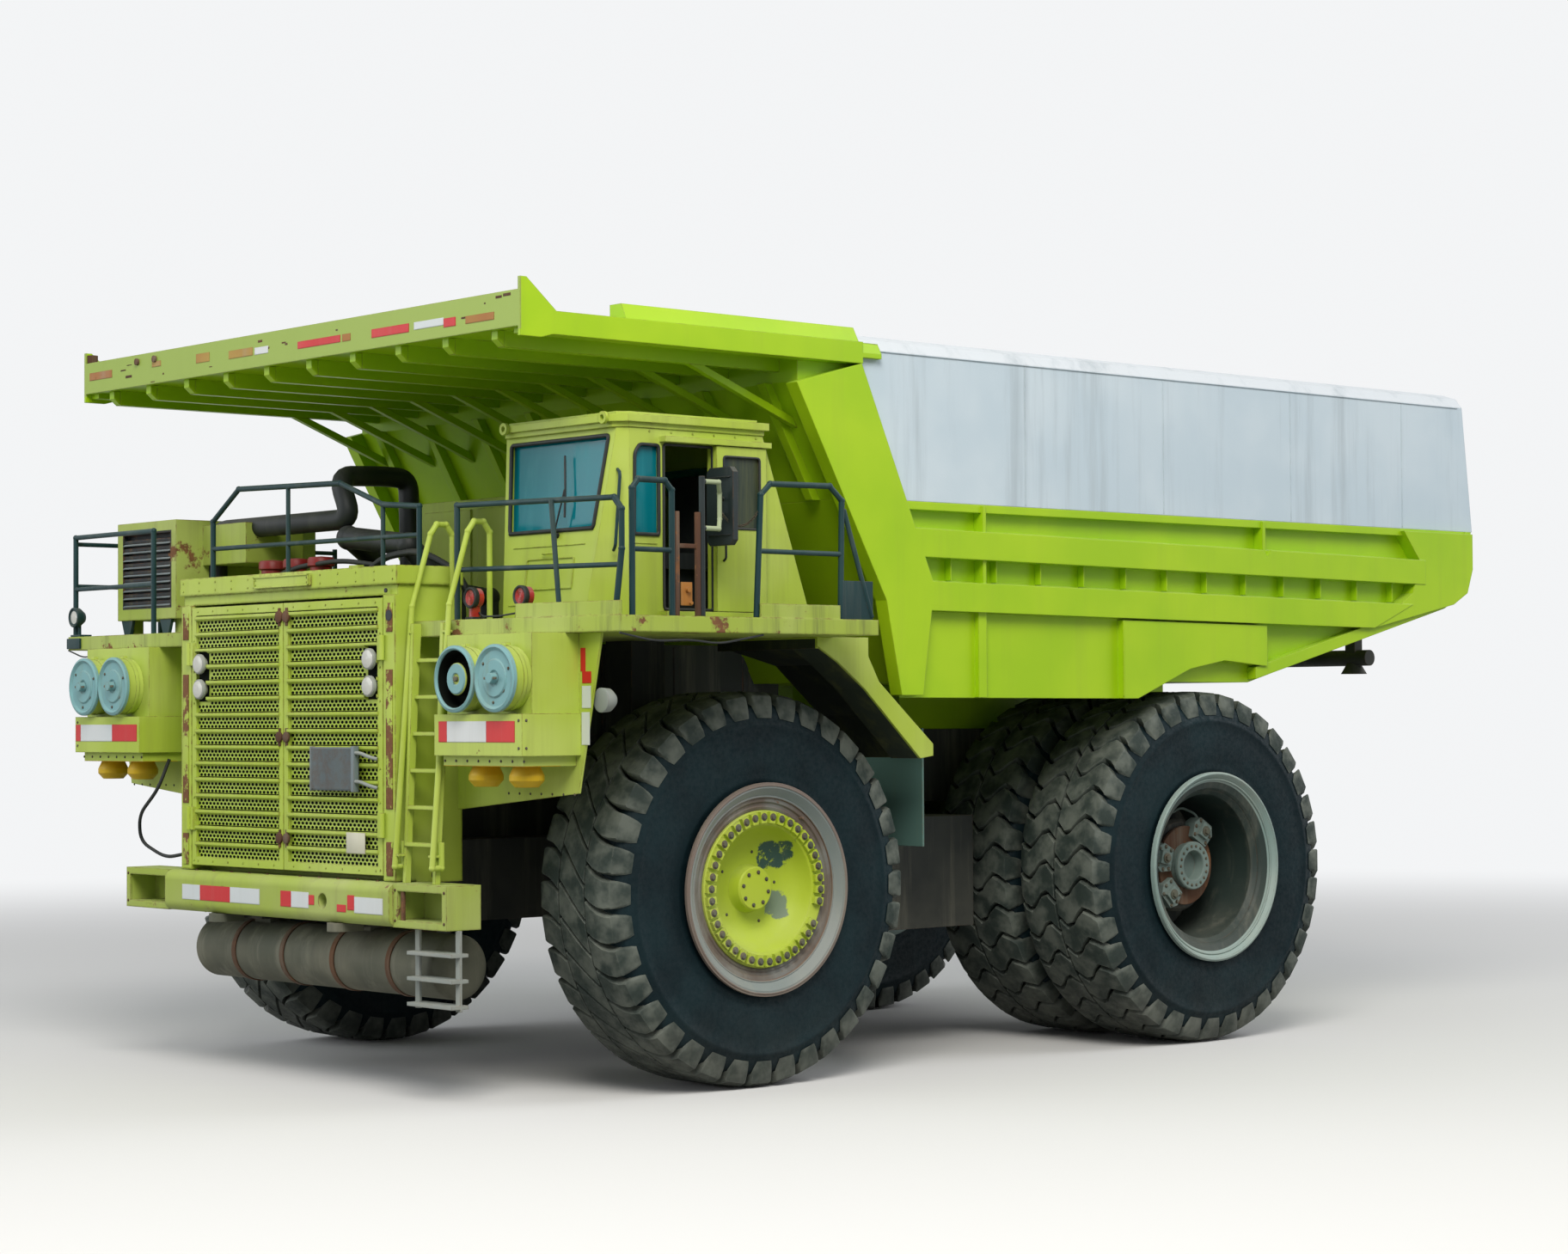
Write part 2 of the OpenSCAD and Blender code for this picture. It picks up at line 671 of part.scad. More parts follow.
// The cab from above with its front corners cut off, pulled in by a wall
module cab_plan(w) {
  k = cab_bevel - w * 0.414;
  reach = 300;
  translate([0, 0, deck_z]) linear_extrude(cab_top - deck_z + 10) polygon([
    [-400, cab_in + w], [k, cab_in + w], [k + reach, cab_in + w + reach], [k + reach, cab_y - w - reach],
    [k, cab_y - w], [-400, cab_y - w]]);
}
door_x = 760;
door_low = deck_z + 70;
door_high = cab_top - 120;
screen = [[cab_in + 240, 4480], [cab_y - 240, 4480], [cab_y - 150, cab_top - 60],
  [cab_in + 150, cab_top - 60]];
quarter = [[1310, 4430], [1560, 4430], [1550, 5060], [1500, 5130], [1310, 5130]];

module cab_shell() {
  carry() color(pale) {
    difference() {
      intersection() {
        side(cab_side, cab_in, cab_y);
        cab_plan(0);
      }
      intersection() {
        side(cab_hollow, cab_in, cab_y);
        cab_plan(cab_wall);
      }
      across(screen, 1500, 1900);
      side(quarter, cab_y - 100, cab_y + 10);
      box([door_x, cab_y - 100, door_low], [door_x + door_w, cab_y + 10, door_high]);
      side([[400, 4480], [1400, 4480], [1400, 5080], [400, 5080]], cab_in - 10, cab_in + 100);
      box([-300, cab_in + 250, 4550], [300, cab_y - 250, 5050]);
    }
    for (z = [door_low - 60, door_high + 15]) box([200, cab_y, z], [1300, cab_y + 80, z + 45]);
  }
}

// A plate of the roof between two heights over the cab walls, reaching out past them
module roof_layer(low, high, out) {
  translate([0, 0, cab_top + low]) linear_extrude(high - low) polygon([
    [230 - out, cab_in - out], [1600 + out, cab_in - out], [1690 + out, cab_in + 90],
    [1690 + out, cab_y - 90], [1600 + out, cab_y + out], [230 - out, cab_y + out]]);
}

module cab_roof() {
  carry() color(pale) {
    roof_layer(0, 40, 10);
    roof_layer(40, 100, 40);
    roof_layer(100, 125, -30);
    // Lifting eyes
    for (x = [160, 1730], y = [cab_in + 140, cab_y - 140]) difference() {
      along_x(x, y, cab_top + 72, 50, 30);
      along_x(x - 5, y, cab_top + 72, 22, 40);
    }
  }
}

module cab_glass() {
  carry() color("lightblue") {
    intersection() {
      across(screen, 1500, 1900);
      side([[1820, deck_z], [1640, cab_top], [1630, cab_top], [1810, deck_z]], cab_in, cab_y);
    }
    side(quarter, cab_y - 35, cab_y - 25);
    side([[400, 4480], [1400, 4480], [1400, 5080], [400, 5080]], cab_in + 25, cab_in + 35);
    intersection() {
      box([-300, cab_in + 250, 4550], [300, cab_y - 250, 5050]);
      side([[-255, deck_z], [265, cab_top], [275, cab_top], [-245, deck_z]], cab_in, cab_y);
    }
  }
}

module cab_inside() {
  floor_z = deck_z + cab_wall;
  seat_y = cab_y - 640;
  carry() color(dark) {
    box([450, seat_y - 200, floor_z], [850, seat_y + 200, floor_z + 350]);
    box([400, seat_y - 270, floor_z + 350], [930, seat_y + 270, floor_z + 480]);
    box([330, seat_y - 250, floor_z + 350], [450, seat_y + 250, floor_z + 1120]);
    box([1420, cab_in + 200, floor_z], [1700, cab_y - 200, floor_z + 640]);
    bar([1450, seat_y, floor_z + 500], [1190, seat_y, floor_z + 800], 35);
    translate([1190, seat_y, floor_z + 800]) rotate([0, -41, 0]) {
      rotate_extrude() translate([200, 0]) circle(r = 18);
      cube([400, 40, 20], center = true);
    }
  }
}

module cab_door() {
  left = door_x - door_w - 15;
  carry() color(pale) {
    difference() {
      box([left, cab_y + 14, door_low - 10], [left + door_w + 20, cab_y + 64, door_high + 10]);
      box([left + 70, cab_y, 4500], [left + door_w - 50, cab_y + 80, door_high - 70]);
    }
    box([left + 70, cab_y + 34, 4500], [left + door_w - 50, cab_y + 44, door_high - 70]);
    for (x = [left + 40, left + door_w - 60])
      box([x, cab_y + 24, door_high], [x + 40, cab_y + 54, door_high + 15 - gap]);
  }
}

module mirror_left() {
  low = 4340;
  high = 4950;
  y0 = rail_edge - 300;
  y1 = rail_edge + 20;
  carry() color(dark) {
    across([[y0 + 40, low], [y1 - 40, low], [y1, low + 40], [y1, high - 40], [y1 - 40, high], [y0 + 40, high],
      [y0, high - 40], [y0, low + 40]], 940, 990);
    bar([1290, rail_edge, deck_z], [1290, rail_edge, 4860], rail_r);
    tube([[1290, rail_edge, 4820], [1120, rail_edge, 4820], [1060, rail_edge - 60, 4740],
      [1060, rail_edge - 60, 4540], [1120, rail_edge, 4460], [1290, rail_edge, 4460]], rail_r * 0.8);
    for (z = [4580, 4700]) bar([1060, rail_edge - 60, z], [970, rail_edge - 120, z], rail_r * 0.6);
  }
}

module control_cabinet() {
  right = -1500;
  left = cab_in - 90;
  step = (left - right) / 4;
  carry() color(pale) {
    box([-450, right, deck_z], [380, left, 4950]);
    for (y = [right + step / 2:step:left - step])
      box([380, y, deck_z + 120], [395, y + step * 0.875, 4860]);
  }
}

grid_y = deck_half - 450;
grid_w = 1030;

module grid_box() {
  carry() color(pale) {
    difference() {
      box([700, -grid_y, deck_z + 140], [2180, grid_w - grid_y, 4810]);
      box([2120, 100 - grid_y, deck_z + 260], [2200, grid_w - 100 - grid_y, 4700]);
    }
    for (i = [0:8]) translate([2120, 90 - grid_y, deck_z + 280 + i * 70]) cube([50, grid_w - 180, 32]);
    for (y = [50 - grid_y, grid_w - 150 - grid_y], x = [800, 2000])
      box([x, y, deck_z], [x + 100, y + 100, deck_z + 140]);
    box([1300, grid_w - grid_y, 4400], [1900, -1700, 4760]);
    box([1500, -1800, deck_z], [1700, -1700, 4420]);
  }
}

module intake_pipes() {
  carry() color(dark) {
    tube([[1300, -600, engine_top], [1300, -600, 4400], [1750, -300, 4560], [1750, 600, 4460],
      [1400, 760, 4000], [1400, 760, engine_top]], 95);
    tube([[700, 300, engine_top], [700, 300, 4050], [1500, 300, 4150], [1500, 300, engine_top]], 80);
  }
}

// Body

// Front edge of the body: X at a height
function front_edge(z) = -190 - (5730 - z) * 0.5625;
// Rear edge of the front strip and headboard, where the tank begins: X at a height
function strip_back(z) = -1420 + (z - tank_z) * 0.4516;
panel_y = body_half - panel_set;
floor_z = 3300;

lower_side = [
  [front_edge(floor_z) - 150, floor_z], [front_edge(tank_z) - 150, tank_z], [-tank_rear + 40, tank_z],
  [-9190, 4440], [-9150, 4180], [-8850, 4030], [-5950, floor_z]
];

module body_floor() {
  carry() color(lime) {
    side(lower_side, -panel_y, panel_y);
    both() box([-7300, rail_y - 160, rail_top_rear], [-3600, rail_y + 160, floor_z + 10]);
  }
}

module body_side() {
  y0 = panel_y;
  y1 = body_half;
  side([[front_edge(3970), 3970], [front_edge(5730), 5730], [strip_back(rail_low), rail_low],
    [strip_back(4110), 4110], [-1600, 3180], [-1350, 3180]], y0, y1);
  side([[-1250, 4350], [-1250, 4590], [-8500, 4510], [-8500, 4270]], y0, y1);
  side([[-1250, 3900], [-1250, 4150], [-8300, 4070], [-7690, 3830]], y0, y1);
  side([[-1400, 3160], [-1400, 3900], [-4300, 3870], [-4300, 3150]], y0, y0 + 50);
  side([[-4110, 3150], [-4110, 3850], [-6100, 3830], [-6100, 3450], [-5490, 3500], [-5010, 3420],
    [-4540, 3240], [-4300, 3150]], y0, y1 - 20);
  side([[-5950, 3330], [-8850, 4040], [-9180, 4190], [-9210, 4440], [-9300, tank_z], [-9200, tank_z],
    [-9110, 4440], [-9080, 4250], [-8830, 4150], [-5950, 3440]], y0, y1 - 40);
  side([[-2400, 3160], [-2400, 3900], [-2300, 3900], [-2300, 3160]], y0, y1 - 40);
  box([-9290, y0, tank_z - 70], [-1300, y1 - 50, tank_z - gap]);
  // Closed corner at the tail, and short stakes between the rails
  side([[-8170, tank_z - 25], [-8440, 4480], [-8300, 4180], [-7690, 3830], [-8960, 4080], [-9190, 4200],
    [-9280, 4440], [-9280, tank_z - 25]], y0, y1 - 6);
  for (stake = [[-2370, 4120, tank_z - 10], [-6080, 4480, tank_z - 10]])
    box([stake[0] - 20, y0, stake[1]], [stake[0] + 20, y1 - 30, stake[2]]);
}

module body_sides() {
  dent = [[-6000, 4570], [-6090, 4470], [-6180, 4570]];
  carry() color(lime) {
    difference() {
      body_side();
      side(dent, body_half - 30, body_half + 10);
    }
    mirror([0, 1, 0]) body_side();
  }
}

module tank() {
  w = body_half - 50;
  carry() color(white) intersection() {
    across([[-w, tank_z], [-w, tank_top], [-w + 70, tank_top + 90], [-w + 220, tank_top + 140],
      [w - 220, tank_top + 140], [w - 70, tank_top + 90], [w, tank_top], [w, tank_z]], -9400, -600);
    side([[strip_back(tank_z) - gap, tank_z], [strip_back(5900) - gap, 5900], [strip_back(5900) - gap, 6300],
      [-9180, 6300], [-9180, 6100], [-tank_rear, tank_z]], -w, w);
  }
}

canopy_z = 5980;
rail_low = canopy_z - 50;
head_x = strip_back(5900);

module canopy() {
  z = canopy_z;
  w = body_half - 50 + gap;
  carry() color(lime) {
    // Headboard behind the cab, with upright ribs
    side([[front_edge(tank_z) - 150, tank_z], [-320, 5760], [-320, z], [head_x, z], [head_x, 5900],
      [strip_back(tank_z), tank_z]], -panel_y, panel_y);
    for (i = [0:7]) {
      y = (body_half - 500) * (2 * i / 7 - 1);
      foot = front_edge(tank_z) - 160;
      side([[foot, tank_z], [-330, 5760], [-230, 5760], [foot + 100, tank_z]], y - 45, y + 45);
    }
    box([head_x, -body_half + 10, z], [canopy_x - 10, body_half - 10, z + 60]);
    for (i = [0:canopy_ribs - 1]) {
      y = (body_half - 400) * (2 * i / (canopy_ribs - 1) - 1);
      box([-400, y - 40, z - 130], [canopy_x - 120, y + 40, z]);
      // Brace from the rib down to the headboard
      side([[640, z - 130], [480, z - 130], [-520, 5470], [-560, 5385]], y - 30, y + 30);
    }
    box([canopy_x - 60, -body_half + 10, z - 6], [canopy_x, body_half - 10, canopy_top]);
    both() {
      box([head_x, body_half - 160, rail_low], [canopy_x - 60, body_half, z + 130]);
      across([[body_half - 260, z], [body_half, z], [body_half, z + 40], [body_half - 120, z + 260],
        [body_half - 260, z + 260]], head_x, 1540);
      across([[w, z], [body_half, z], [body_half, z + 40], [w, z + 130]], head_x - 210, head_x + 10);
      side([[canopy_x - 500, z], [canopy_x - 60, z + 370], [canopy_x, z + 370], [canopy_x, z - 80],
        [canopy_x - 200, z - 80]], body_half - 30, body_half);
    }
  }
}

lid_x = -1750;
lid_y = body_half - 1800;
lid_r = 330;
roof_z = tank_top + 140;
lid_pin = 32;

module filler_lid() {
  carry() color("firebrick") {
    translate([lid_x, lid_y, roof_z + gap]) cylinder(r = lid_r, h = 60);
    box([lid_x - lid_r - 70, lid_y - 120, roof_z + 20], [lid_x - lid_r + 60, lid_y + 120, roof_z + 60]);
    along_y(lid_x - lid_r - 70, lid_y - 140, roof_z + lid_pin, lid_pin - gap, 280);
  }
}

// Underside of the tail: Z at an X
function tail_z(x) = floor_z + (-5950 - x) * (4030 - floor_z) / 2900;

module spray_bar() {
  carry() color(dark) {
    along_y(-8500, -2600, 3560, 80, 5200);
    for (y = [-2400, -800, 800, 2400]) {
      side([[-8560, 3560], [-8440, 3560], [-8440, tail_z(-8440)], [-8560, tail_z(-8560)]], y - 60, y + 60);
      translate([-8500, y, 3400]) cylinder(r1 = 130, r2 = 60, h = 120);
    }
  }
}

frame();
front_bumper();
bumper_ladder();
tow_eyes();
engine();
radiator_housing();
radiator_core();
grille_door_left();
grille_door_right();
headlamps_left();
headlamps_right();
air_cleaners();
air_cleaner_boxes();
deck_left();
deck_right();
deck_lamps();
hand_rails_left();
hand_rails_front();
hand_rails_right();
boarding_ladder();
mudguards();
cab_shell();
cab_roof();
cab_glass();
cab_inside();
cab_door();
mirror_left();
control_cabinet();
grid_box();
intake_pipes();
air_tank();
fuel_tank();
oil_tank();
front_struts();
knuckle_left();
knuckle_right();
rim_front_left();
rim_front_right();
tyre_front_left();
tyre_front_right();
rear_axle();
rear_struts();
wheel_motors();
rim_rear_left();
rim_rear_right();
tyres_rear_left();
tyres_rear_right();
body_floor();
body_sides();
tank();
canopy();
filler_lid();
spray_bar();
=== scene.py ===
import math
import random

import bmesh
import bpy
from mathutils import Matrix, Vector


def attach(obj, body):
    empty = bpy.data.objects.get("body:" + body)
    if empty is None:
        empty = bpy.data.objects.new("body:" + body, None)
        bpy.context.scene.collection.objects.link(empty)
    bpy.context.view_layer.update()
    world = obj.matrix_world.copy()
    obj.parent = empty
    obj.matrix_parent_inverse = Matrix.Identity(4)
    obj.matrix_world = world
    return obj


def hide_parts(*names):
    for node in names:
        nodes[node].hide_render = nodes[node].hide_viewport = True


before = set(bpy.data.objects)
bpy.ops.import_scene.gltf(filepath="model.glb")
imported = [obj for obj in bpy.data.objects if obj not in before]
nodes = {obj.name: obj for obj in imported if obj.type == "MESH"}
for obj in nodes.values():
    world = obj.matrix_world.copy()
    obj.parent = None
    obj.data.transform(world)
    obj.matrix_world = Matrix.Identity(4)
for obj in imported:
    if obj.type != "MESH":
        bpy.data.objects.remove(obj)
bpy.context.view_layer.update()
dice = random.Random(11)
axleShift = 3.275  # the front axle is at this X; places below are in metres ahead of it
axleZ = 1.6085
rearAxle = -5.31
wheelY = {"front": (2.6,), "rear": (2.78, 1.69)}  # middles of the tyres, out from the centre line
leftRight = (("left", 1), ("right", -1))
ahead = (1, 0, 0)
print("frame loaded:", len(nodes), "nodes")


# node helpers for materials

def addNode(tree, kind, **values):
    made = tree.nodes.new(kind)
    for key, value in values.items():
        setattr(made, key, value)
    return made


def setIn(node, **values):
    for key, value in values.items():
        node.inputs[key].default_value = value
    return node


def feed(tree, socket, value):
    if hasattr(value, "is_output"):
        tree.links.new(value, socket)
    else:
        socket.default_value = value


def mathNode(tree, operation, a, b=None, clamp=False):
    made = addNode(tree, "ShaderNodeMath", operation=operation, use_clamp=clamp)
    for socket, value in zip(made.inputs, (a, b)):
        if value is not None:
            feed(tree, socket, value)
    return made.outputs[0]


def mapRange(tree, value, low, high, to0=0.0, to1=1.0):
    made = addNode(tree, "ShaderNodeMapRange", interpolation_type="SMOOTHSTEP")
    for socket, v in zip(made.inputs, (value, low, high, to0, to1)):
        feed(tree, socket, v)
    return made.outputs[0]


def mixColour(tree, mask, a, b):
    made = addNode(tree, "ShaderNodeMix", data_type="RGBA")
    for socket, v in zip((made.inputs[0], made.inputs[6], made.inputs[7]), (mask, a, b)):
        feed(tree, socket, (*v, 1.0) if isinstance(v, tuple) else v)
    return made.outputs[2]


def noiseNode(tree, vector, scale, detail=4.0, rough=0.6):
    made = setIn(addNode(tree, "ShaderNodeTexNoise"), Detail=detail, Roughness=rough)
    tree.links.new(vector, made.inputs["Vector"])
    feed(tree, made.inputs["Scale"], scale)
    return made.outputs[0]


def objectPlace(tree):
    return addNode(tree, "ShaderNodeTexCoord").outputs["Object"]


def splitXYZ(tree, vector):
    made = addNode(tree, "ShaderNodeSeparateXYZ")
    tree.links.new(vector, made.inputs[0])
    return made.outputs


def newGroup(name, inputs, outputs):
    group = bpy.data.node_groups.new(name, "ShaderNodeTree")
    for label, value in inputs.items():
        socket = group.interface.new_socket(label, in_out="INPUT", socket_type="NodeSocketFloat")
        socket.default_value = value
    for label in outputs:
        kind = "NodeSocketVector" if label == "Soft" else "NodeSocketFloat"
        group.interface.new_socket(label, in_out="OUTPUT", socket_type=kind)
    return group, group.nodes.new("NodeGroupInput"), group.nodes.new("NodeGroupOutput")


# shared effects, each built once

def buildEdgeWear():
    tree, inp, out = newGroup("edgeWear", {"Width": 0.02, "Scale": 9.0, "Amount": 0.5}, ["Mask", "Soft"])
    bevel = addNode(tree, "ShaderNodeBevel", samples=4)
    tree.links.new(inp.outputs["Width"], bevel.inputs["Radius"])
    geo = addNode(tree, "ShaderNodeNewGeometry")
    dot = addNode(tree, "ShaderNodeVectorMath", operation="DOT_PRODUCT")
    tree.links.new(bevel.outputs[0], dot.inputs[0])
    tree.links.new(geo.outputs["Normal"], dot.inputs[1])
    tree.links.new(bevel.outputs[0], out.inputs["Soft"])
    edge = mapRange(tree, dot.outputs["Value"], 0.995, 0.80)
    place = objectPlace(tree)
    patchy = mapRange(tree, noiseNode(tree, place, inp.outputs["Scale"], 5.0, 0.7), 0.40, 0.62)
    mask = mathNode(tree, "MULTIPLY", mathNode(tree, "MULTIPLY", edge, patchy), inp.outputs["Amount"], True)
    tree.links.new(mask, out.inputs["Mask"])
    return tree


def buildDust():
    tree, inp, out = newGroup("roadDust", {"Top": 1.0, "Low": 1.0, "Reach": 2.2, "Scale": 2.5}, ["Mask"])
    geo = addNode(tree, "ShaderNodeNewGeometry")
    place = objectPlace(tree)
    patchy = mapRange(tree, noiseNode(tree, place, inp.outputs["Scale"], 6.0, 0.65), 0.30, 0.72)
    up, height = splitXYZ(tree, geo.outputs["Normal"])["Z"], splitXYZ(tree, place)["Z"]
    onTop = mathNode(tree, "MULTIPLY", mapRange(tree, up, 0.25, 0.95), inp.outputs["Top"])
    lowDown = mathNode(tree, "MULTIPLY", mapRange(tree, height, inp.outputs["Reach"], 0.2),
                       inp.outputs["Low"])
    uneven = mathNode(tree, "ADD", mathNode(tree, "MULTIPLY", patchy, 0.75), 0.25)
    mask = mathNode(tree, "MULTIPLY", mathNode(tree, "MAXIMUM", onTop, lowDown), uneven, True)
    tree.links.new(mask, out.inputs["Mask"])
    return tree


def buildStreaks():
    tree, inp, out = newGroup("rainStreaks", {"Scale": 5.0, "Stretch": 0.06, "Amount": 0.5}, ["Mask"])
    place = objectPlace(tree)
    squeeze = addNode(tree, "ShaderNodeCombineXYZ")
    setIn(squeeze, X=1.0, Y=1.0)
    tree.links.new(inp.outputs["Stretch"], squeeze.inputs["Z"])
    flat = addNode(tree, "ShaderNodeVectorMath", operation="MULTIPLY")
    tree.links.new(place, flat.inputs[0])
    tree.links.new(squeeze.outputs[0], flat.inputs[1])
    lines = mapRange(tree, noiseNode(tree, flat.outputs[0], inp.outputs["Scale"], 6.0, 0.68), 0.48, 0.72)
    tree.links.new(mathNode(tree, "MULTIPLY", lines, inp.outputs["Amount"], True), out.inputs["Mask"])
    return tree


def buildRust():
    tree, inp, out = newGroup("rustSpots", {"Scale": 3.0, "Cover": 0.3}, ["Mask", "Tint"])
    place = objectPlace(tree)
    coarse = noiseNode(tree, place, inp.outputs["Scale"], 8.0, 0.72)
    edge = mathNode(tree, "SUBTRACT", 0.78, mathNode(tree, "MULTIPLY", inp.outputs["Cover"], 0.4))
    tree.links.new(mapRange(tree, coarse, edge, mathNode(tree, "ADD", edge, 0.05)), out.inputs["Mask"])
    fine = noiseNode(tree, place, mathNode(tree, "MULTIPLY", inp.outputs["Scale"], 6.0), 4.0, 0.7)
    tree.links.new(fine, out.inputs["Tint"])
    return tree


def buildGrain():
    tree, inp, out = newGroup("paintGrain", {"Scale": 60.0, "Waves": 1.2}, ["Height", "Fade"])
    place = objectPlace(tree)
    fine = noiseNode(tree, place, inp.outputs["Scale"], 3.0, 0.6)
    wide = noiseNode(tree, place, inp.outputs["Waves"], 3.0, 0.55)
    tall = mathNode(tree, "ADD", mathNode(tree, "MULTIPLY", fine, 0.25), wide)
    tree.links.new(tall, out.inputs["Height"])
    tree.links.new(mapRange(tree, wide, 0.35, 0.68), out.inputs["Fade"])
    return tree


effects = {"wear": buildEdgeWear(), "dust": buildDust(), "streaks": buildStreaks(), "rust": buildRust(),
           "grain": buildGrain()}
print("shared effects built")


def useEffect(tree, name, **values):
    return setIn(addNode(tree, "ShaderNodeGroup", node_tree=effects[name]), **values)


def startMaterial(name):
    mat = bpy.data.materials.new(name)
    mat.use_nodes = True
    tree = mat.node_tree
    return mat, tree, tree.nodes["Principled BSDF"]


dustColour = (0.36, 0.34, 0.26)
tyreDust = (0.19, 0.18, 0.15)
rustDark = (0.085, 0.040, 0.020)
rustLight = (0.26, 0.115, 0.045)
zoneEdge = {"ring": 0.004, "patch": 0.16}  # how softly a painted zone ends


def zoneMask(tree, zone):
    place = splitXYZ(tree, objectPlace(tree))
    tests = []
    if "axle" in zone:
        dx = mathNode(tree, "SUBTRACT", place[0], zone["axle"] + axleShift)
        dz = mathNode(tree, "SUBTRACT", place[2], axleZ)
        reach = mathNode(tree, "SQRT", mathNode(tree, "ADD", mathNode(tree, "MULTIPLY", dx, dx),
                                                mathNode(tree, "MULTIPLY", dz, dz)))
        blur = zoneEdge["ring"]
        tests.append(mapRange(tree, reach, zone["from"] - blur, zone["from"] + blur))
        tests.append(mapRange(tree, reach, zone["to"] + blur, zone["to"] - blur))
    for side, kind, inward in (("lo", "GREATER_THAN", 1), ("hi", "LESS_THAN", -1)):
        for axis, limit in enumerate(zone.get(side, ())):
            if limit is None:
                continue
            value = place[axis]
            if zone.get("mirror") and axis == 1:
                value = mathNode(tree, "ABSOLUTE", value)
            limit += axleShift if axis == 0 else 0.0
            if "patchy" in zone:
                tests.append(mapRange(tree, value, limit, limit + inward * zoneEdge["patch"]))
            else:
                tests.append(mathNode(tree, kind, value, limit))
    mask = tests[0]
    for test in tests[1:]:
        mask = mathNode(tree, "MULTIPLY", mask, test)
    if "patchy" in zone:  # an uneven edge in place of a straight one
        spots = noiseNode(tree, objectPlace(tree), zone["patchy"], 6.0, 0.7)
        mask = mapRange(tree, mathNode(tree, "MULTIPLY", mask, spots), 0.36, 0.44)
    return mask


# what a paint has unless its own entry says otherwise
paintBase = {"grain": 70.0, "waves": 0.9, "streaks": 0.3, "streakScale": 4.0, "streakColour": dustColour,
             "rust": 0.2, "rustScale": 2.6, "wear": 0.6, "wearWidth": 0.012, "dust": 0.5, "dustTop": 0.5,
             "dustLow": 0.6, "dustReach": 2.0, "dustScale": 1.8, "rough": 0.45, "bump": 0.2, "gloss": 0.3,
             "zones": ()}


def paintMaterial(name, own):
    spec = {**paintBase, **own}
    mat, tree, shader = startMaterial(name)
    grain = useEffect(tree, "grain", Scale=spec["grain"], Waves=spec["waves"])
    streaks = useEffect(tree, "streaks", Scale=spec["streakScale"], Amount=spec["streaks"])
    rust = useEffect(tree, "rust", Scale=spec["rustScale"], Cover=spec["rust"])
    wear = useEffect(tree, "wear", Width=spec["wearWidth"], Amount=spec["wear"])
    dust = useEffect(tree, "dust", Top=spec["dustTop"], Low=spec["dustLow"], Reach=spec["dustReach"],
                     Scale=spec["dustScale"]).outputs["Mask"]
    colour = mixColour(tree, grain.outputs["Fade"], spec["paint"], spec["faded"])
    for zone in spec["zones"]:
        colour = mixColour(tree, zoneMask(tree, zone), colour, zone["colour"])
    colour = mixColour(tree, streaks.outputs["Mask"], colour, spec["streakColour"])
    rustColour = mixColour(tree, rust.outputs["Tint"], rustDark, rustLight)
    bare = mathNode(tree, "MAXIMUM", rust.outputs["Mask"], wear.outputs["Mask"], True)
    colour = mixColour(tree, bare, colour, rustColour)
    colour = mixColour(tree, mathNode(tree, "MULTIPLY", dust, spec["dust"]), colour, dustColour)
    tree.links.new(colour, shader.inputs["Base Color"])
    rough = mathNode(tree, "ADD", spec["rough"], mathNode(tree, "MULTIPLY", dust, 0.4), True)
    rough = mathNode(tree, "MAXIMUM", rough, mathNode(tree, "MULTIPLY", bare, 0.85))
    tree.links.new(rough, shader.inputs["Roughness"])
    bump = setIn(addNode(tree, "ShaderNodeBump"), Strength=spec["bump"], Distance=0.012)
    height = mathNode(tree, "SUBTRACT", grain.outputs["Height"], mathNode(tree, "MULTIPLY", bare, 0.35))
    tree.links.new(height, bump.inputs["Height"])
    tree.links.new(wear.outputs["Soft"], bump.inputs["Normal"])
    tree.links.new(bump.outputs[0], shader.inputs["Normal"])
    shader.inputs["Specular IOR Level"].default_value = spec["gloss"]
    return mat


lime = {"paint": (0.33, 0.55, 0.004), "faded": (0.39, 0.60, 0.008), "streaks": 0.12, "rust": 0.03,
        "rough": 0.4, "dust": 0.3, "wear": 0.35, "streakColour": (0.24, 0.33, 0.03)}
pale = {"paint": (0.39, 0.50, 0.050), "faded": (0.46, 0.56, 0.11), "streaks": 0.25, "rust": 0.22,
        "rough": 0.48, "dust": 0.45, "wear": 0.9, "streakColour": (0.22, 0.23, 0.06)}
worn = {"paint": (0.33, 0.42, 0.055), "faded": (0.39, 0.46, 0.12), "streaks": 0.35, "rust": 0.42,
        "rough": 0.55, "dust": 0.6, "wear": 1.0, "wearWidth": 0.02, "streakColour": (0.20, 0.19, 0.07)}
# near black: the hoses' own colour, also used as painted shade behind the grid box louvres
black = (0.010, 0.013, 0.014)
rimRings = [{"axle": 0.0, "from": 0.0, "to": 0.63, "colour": (0.40, 0.46, 0.030)},
            {"axle": 0.0, "from": 0.66, "to": 0.745, "colour": (0.16, 0.105, 0.075)},
            {"axle": 0.0, "from": 0.835, "to": 0.90, "colour": (0.19, 0.15, 0.125)}]
# the rear rim's recessed middle is painted near black: painted shade in the recess
rearRecessShade = [{"axle": rearAxle, "from": 0.0, "to": 0.775, "colour": (0.020, 0.034, 0.029)}]
hubPatches = [{"lo": (-0.50, 2.6, 1.66), "hi": (0.0, None, 2.10), "patchy": 9.0,
               "colour": (0.03, 0.075, 0.06)},
              {"lo": (-0.50, 2.6, 1.24), "hi": (-0.08, None, 1.70), "patchy": 7.0,
               "colour": (0.16, 0.22, 0.15)}]
